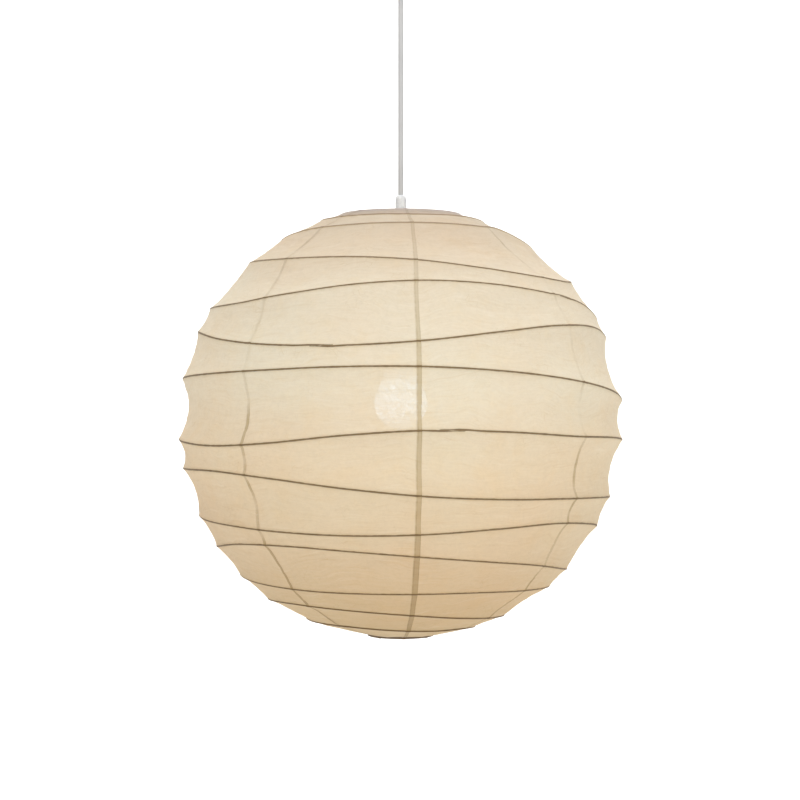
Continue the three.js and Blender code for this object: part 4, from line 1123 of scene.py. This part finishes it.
# ------------------------------------------------------------------ stretcher
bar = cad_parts["stretcher_bar"]
bar.data.materials.clear()
bar.data.materials.append(ZINC_SHEET)
LEG_X, LEG_FOOT_X = 58.0, 31.8
for name, s, body in (("left", -1, "leg_left"), ("right", 1, "leg_right")):
    key = [(LEG_X, T + 0.1), (LEG_X, T - 5), (LEG_X - 0.2, T - 14), (LEG_X - 3.5, T - 70), (LEG_FOOT_X + 4.4, RING_BOT_Z + 70), (LEG_FOOT_X + 0.3, RING_BOT_Z + 12), (LEG_FOOT_X, RING_BOT_Z + 2), (LEG_FOOT_X, RING_BOT_Z - 1.3)]
    kx, kz = np.array([k[0] for k in key]), np.array([k[1] for k in key])
    zs = np.concatenate([np.linspace(T + 0.1, T - 20, 12), np.linspace(T - 26, RING_BOT_Z + 22, 40), np.linspace(RING_BOT_Z + 18, RING_BOT_Z - 0.9, 14), [RING_BOT_Z - 1.3]])
    xs = np.interp(-zs, -kz, kx)
    ker = np.array([0.25, 0.5, 0.25])
    for _ in range(3):
        xs[1:-1] = np.convolve(xs, ker, "valid")
    rad = np.full(len(zs), 1.5)
    rad[-1] = 0.8
    wire = sweep("leg_wire", np.stack([s * xs, np.zeros(len(zs)), zs], -1), rad, seg=20)
    head = turned("leg_head", rounded([(0, T - 1.4), (3.1, T - 1.4), (3.15, T - 0.4), (2.5, T + 0.3), (0, T + 0.4)], 0.3, 2), 36, at=(s * LEG_X, 0, 0))
    coll = turned("leg_collar", rounded([(1.2, T - 5.4), (3.15, T - 5.4), (3.15, T - 3.7), (1.2, T - 3.7)], 0.3, 2), 36, at=(s * LEG_X, 0, 0))
    lo, hi = sorted((s * (LEG_FOOT_X - 2.2), s * 38.0))
    foot = soft_box("leg_foot", (lo, -5, RING_BOT_Z + 1.9), (hi, 5, RING_BOT_Z + 3.9), 0.7, 4)
    leg = join("stretcher_wire_" + name, [wire, head, coll, foot])
    dress(leg, ZINC, body, "stretcher_leg_" + name)

# ------------------------------------------------------------------ ceiling end
canopy = turned("canopy_cup", rounded([
    (45, -0.02), (45, -14), (44.95, -27), (44.3, -31.5), (42.8, -35.2), (40, -38.9), (36, -42), (30.5, -44.8), (24, -47.2), (17.5, -49.2), (12, -49.95), (7.6, -49.98),
    (7.6, -48.5), (11.8, -48.4), (23.4, -45.8), (35.1, -40.5), (41.4, -33.9), (43.5, -27), (43.5, -0.02)], 0.5, 3), 144, sharp=40)
dress(canopy, ENAMEL, "ceiling_mount", "ceiling_canopy")
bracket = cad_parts["ceiling_bracket"]
bracket.data.materials.clear()
bracket.data.materials.append(ZINC_SHEET)
for name, s in (("left", -1), ("right", 1)):
    prof = [(0, s * 34.6), (1.2, s * 34.6), (1.45, s * 35.0)] + [(1.36, s * (35.2 + 0.2 * k)) for k in range(50)] + [(1.45, s * 45.3), (3.2, s * 45.4), (3.2, s * 46.4), (2.6, s * 47.1), (0, s * 47.38)]
    sc = turned("canopy_screw_" + name + "_body", prof, 36, axis="X", at=(0, 0, -9), ripple=lambda a, r, z: np.where(abs(r - 1.36) < 0.01, 0.09 * np.cos(a - 2 * math.pi * z / 0.8), 0.0))
    sl = soft_box("slotc", (s * 46.75 - 0.35, -4, -9.4) if s > 0 else (-48.4, -4, -9.4), (48.4, 4, -8.6) if s > 0 else (-46.4, 4, -8.6), 0.02, 1)
    cut(sc, sl)
    dress(sc, SCREW, "ceiling_mount", "canopy_screw_" + name)
block = soft_box("terminal_block_body", (-27, -6, -14), (-7, 6, -2.3), 0.8, 3)
for y in (-2.9, 2.9):
    cut(block, turned("c", [(0, -16), (1.55, -16), (1.55, -9), (0, -9)], 24, at=(-19, y, 0)))
for x in (-24, -10):
    cut(block, turned("c", [(0, -16), (1.7, -16), (1.7, -12.2), (0, -12.2)], 24, at=(x, 0, 0)))
block.data.set_sharp_from_angle(angle=math.radians(40))
dress(block, WHITE, "ceiling_mount", "terminal_block")


def catmull(points, n):
    p = np.array(points, float)
    q = np.vstack([2 * p[0] - p[1], p, 2 * p[-1] - p[-2]])
    out = []
    for i in range(len(p) - 1):
        a, b, c, d = q[i], q[i + 1], q[i + 2], q[i + 3]
        for k in range(n):
            t = k / n
            out.append(0.5 * (2 * b + (c - a) * t + (2 * a - 5 * b + 4 * c - d) * t * t + (3 * b - a - 3 * c + d) * t ** 3))
    out.append(p[-1])
    return np.array(out)


tail = sweep("lead_tail_body", catmull([(0, 0, BALL_Z + 0.7), (0, 0, BALL_Z + 11), (-3, 0, BALL_Z + 17), (-11, 0, -22.5), (-17, 0, -20), (-19, 0, -17), (-19, 0, -14.6)], 6), 2.85, seg=24)
dress(tail, SHEATH, "ceiling_mount", "lead_tail")
flare = 3.4 + BALL_R * math.tan(math.radians(17))
rimz = math.acos(flare / BALL_R)
prof = [(BALL_R * math.cos(t), BALL_Z + BALL_R * math.sin(t)) for t in np.linspace(-rimz, rimz, 30)] + [(3.6, BALL_Z + 1.0), (3.42, BALL_Z), (3.6, BALL_Z - 1.0)]
ball = turned("outlet_ball_body", prof, 72, sharp=50)
dress(ball, WHITE, "outlet_ball", "outlet_ball")

# ------------------------------------------------------------------ stage and light
def stage():
    pts = []
    zf = -1.62
    for y in np.linspace(-4.5, 2.2, 8):
        pts.append((y, zf))
    for t in np.linspace(0, math.pi / 2, 14)[1:]:
        pts.append((2.2 + 1.6 * math.sin(t), zf + 1.6 * (1 - math.cos(t))))
    for z in np.linspace(0.3, 3.4, 6):
        pts.append((3.8, z))
    xs = np.linspace(-5, 5, 12)
    v = [(x * 1000, y * 1000, z * 1000) for y, z in pts for x in xs]
    ob = mesh_from("studio_floor", v, grid_faces(len(pts), len(xs)))
    m = Mat("studio_paper")
    n = m.noise(m.coord(), 3, 3, 0.5)
    c = m.mix(m.remap(n, 0.3, 0.7, 0, 1), (0.93, 0.93, 0.925), (0.95, 0.95, 0.945))
    p = m.principled(**{"Base Color": c, "Roughness": 0.9})
    p.inputs["Specular IOR Level"].default_value = 0.1
    ob.data.materials.append(m.finish(p.outputs[0]))


stage()


def area(name, loc, target, size, power, colour=(1, 1, 1), size_y=None):
    d = bpy.data.lights.new(name, "AREA")
    d.shape = "RECTANGLE"
    d.size = size
    d.size_y = size_y or size
    d.energy = power
    d.color = colour
    o = bpy.data.objects.new(name, d)
    scene.collection.objects.link(o)
    o.location = loc
    o.rotation_euler = (Vector(target) - Vector(loc)).to_track_quat("-Z", "Y").to_euler()
    return o


ctr = (0, 0, CENTRE_Z * MM)
area("key", (-0.9, -2.6, 0.9), ctr, 2.2, 50, (1.0, 0.985, 0.96))
area("fill", (2.2, -1.8, 0.1), ctr, 1.8, 27, (1.0, 0.99, 0.97))
area("top", (0.1, 0.4, 1.9), ctr, 2.4, 26, (1.0, 1.0, 1.0))
area("wall", (0, 1.2, 1.6), (0, 3.6, -0.6), 2.6, 95, (1, 1, 1))
w = bpy.data.worlds.new("studio")
scene.world = w
w.use_nodes = True
bg = w.node_tree.nodes["Background"]
bg.inputs["Color"].default_value = (1.0, 0.995, 0.985, 1)
bg.inputs["Strength"].default_value = 0.62
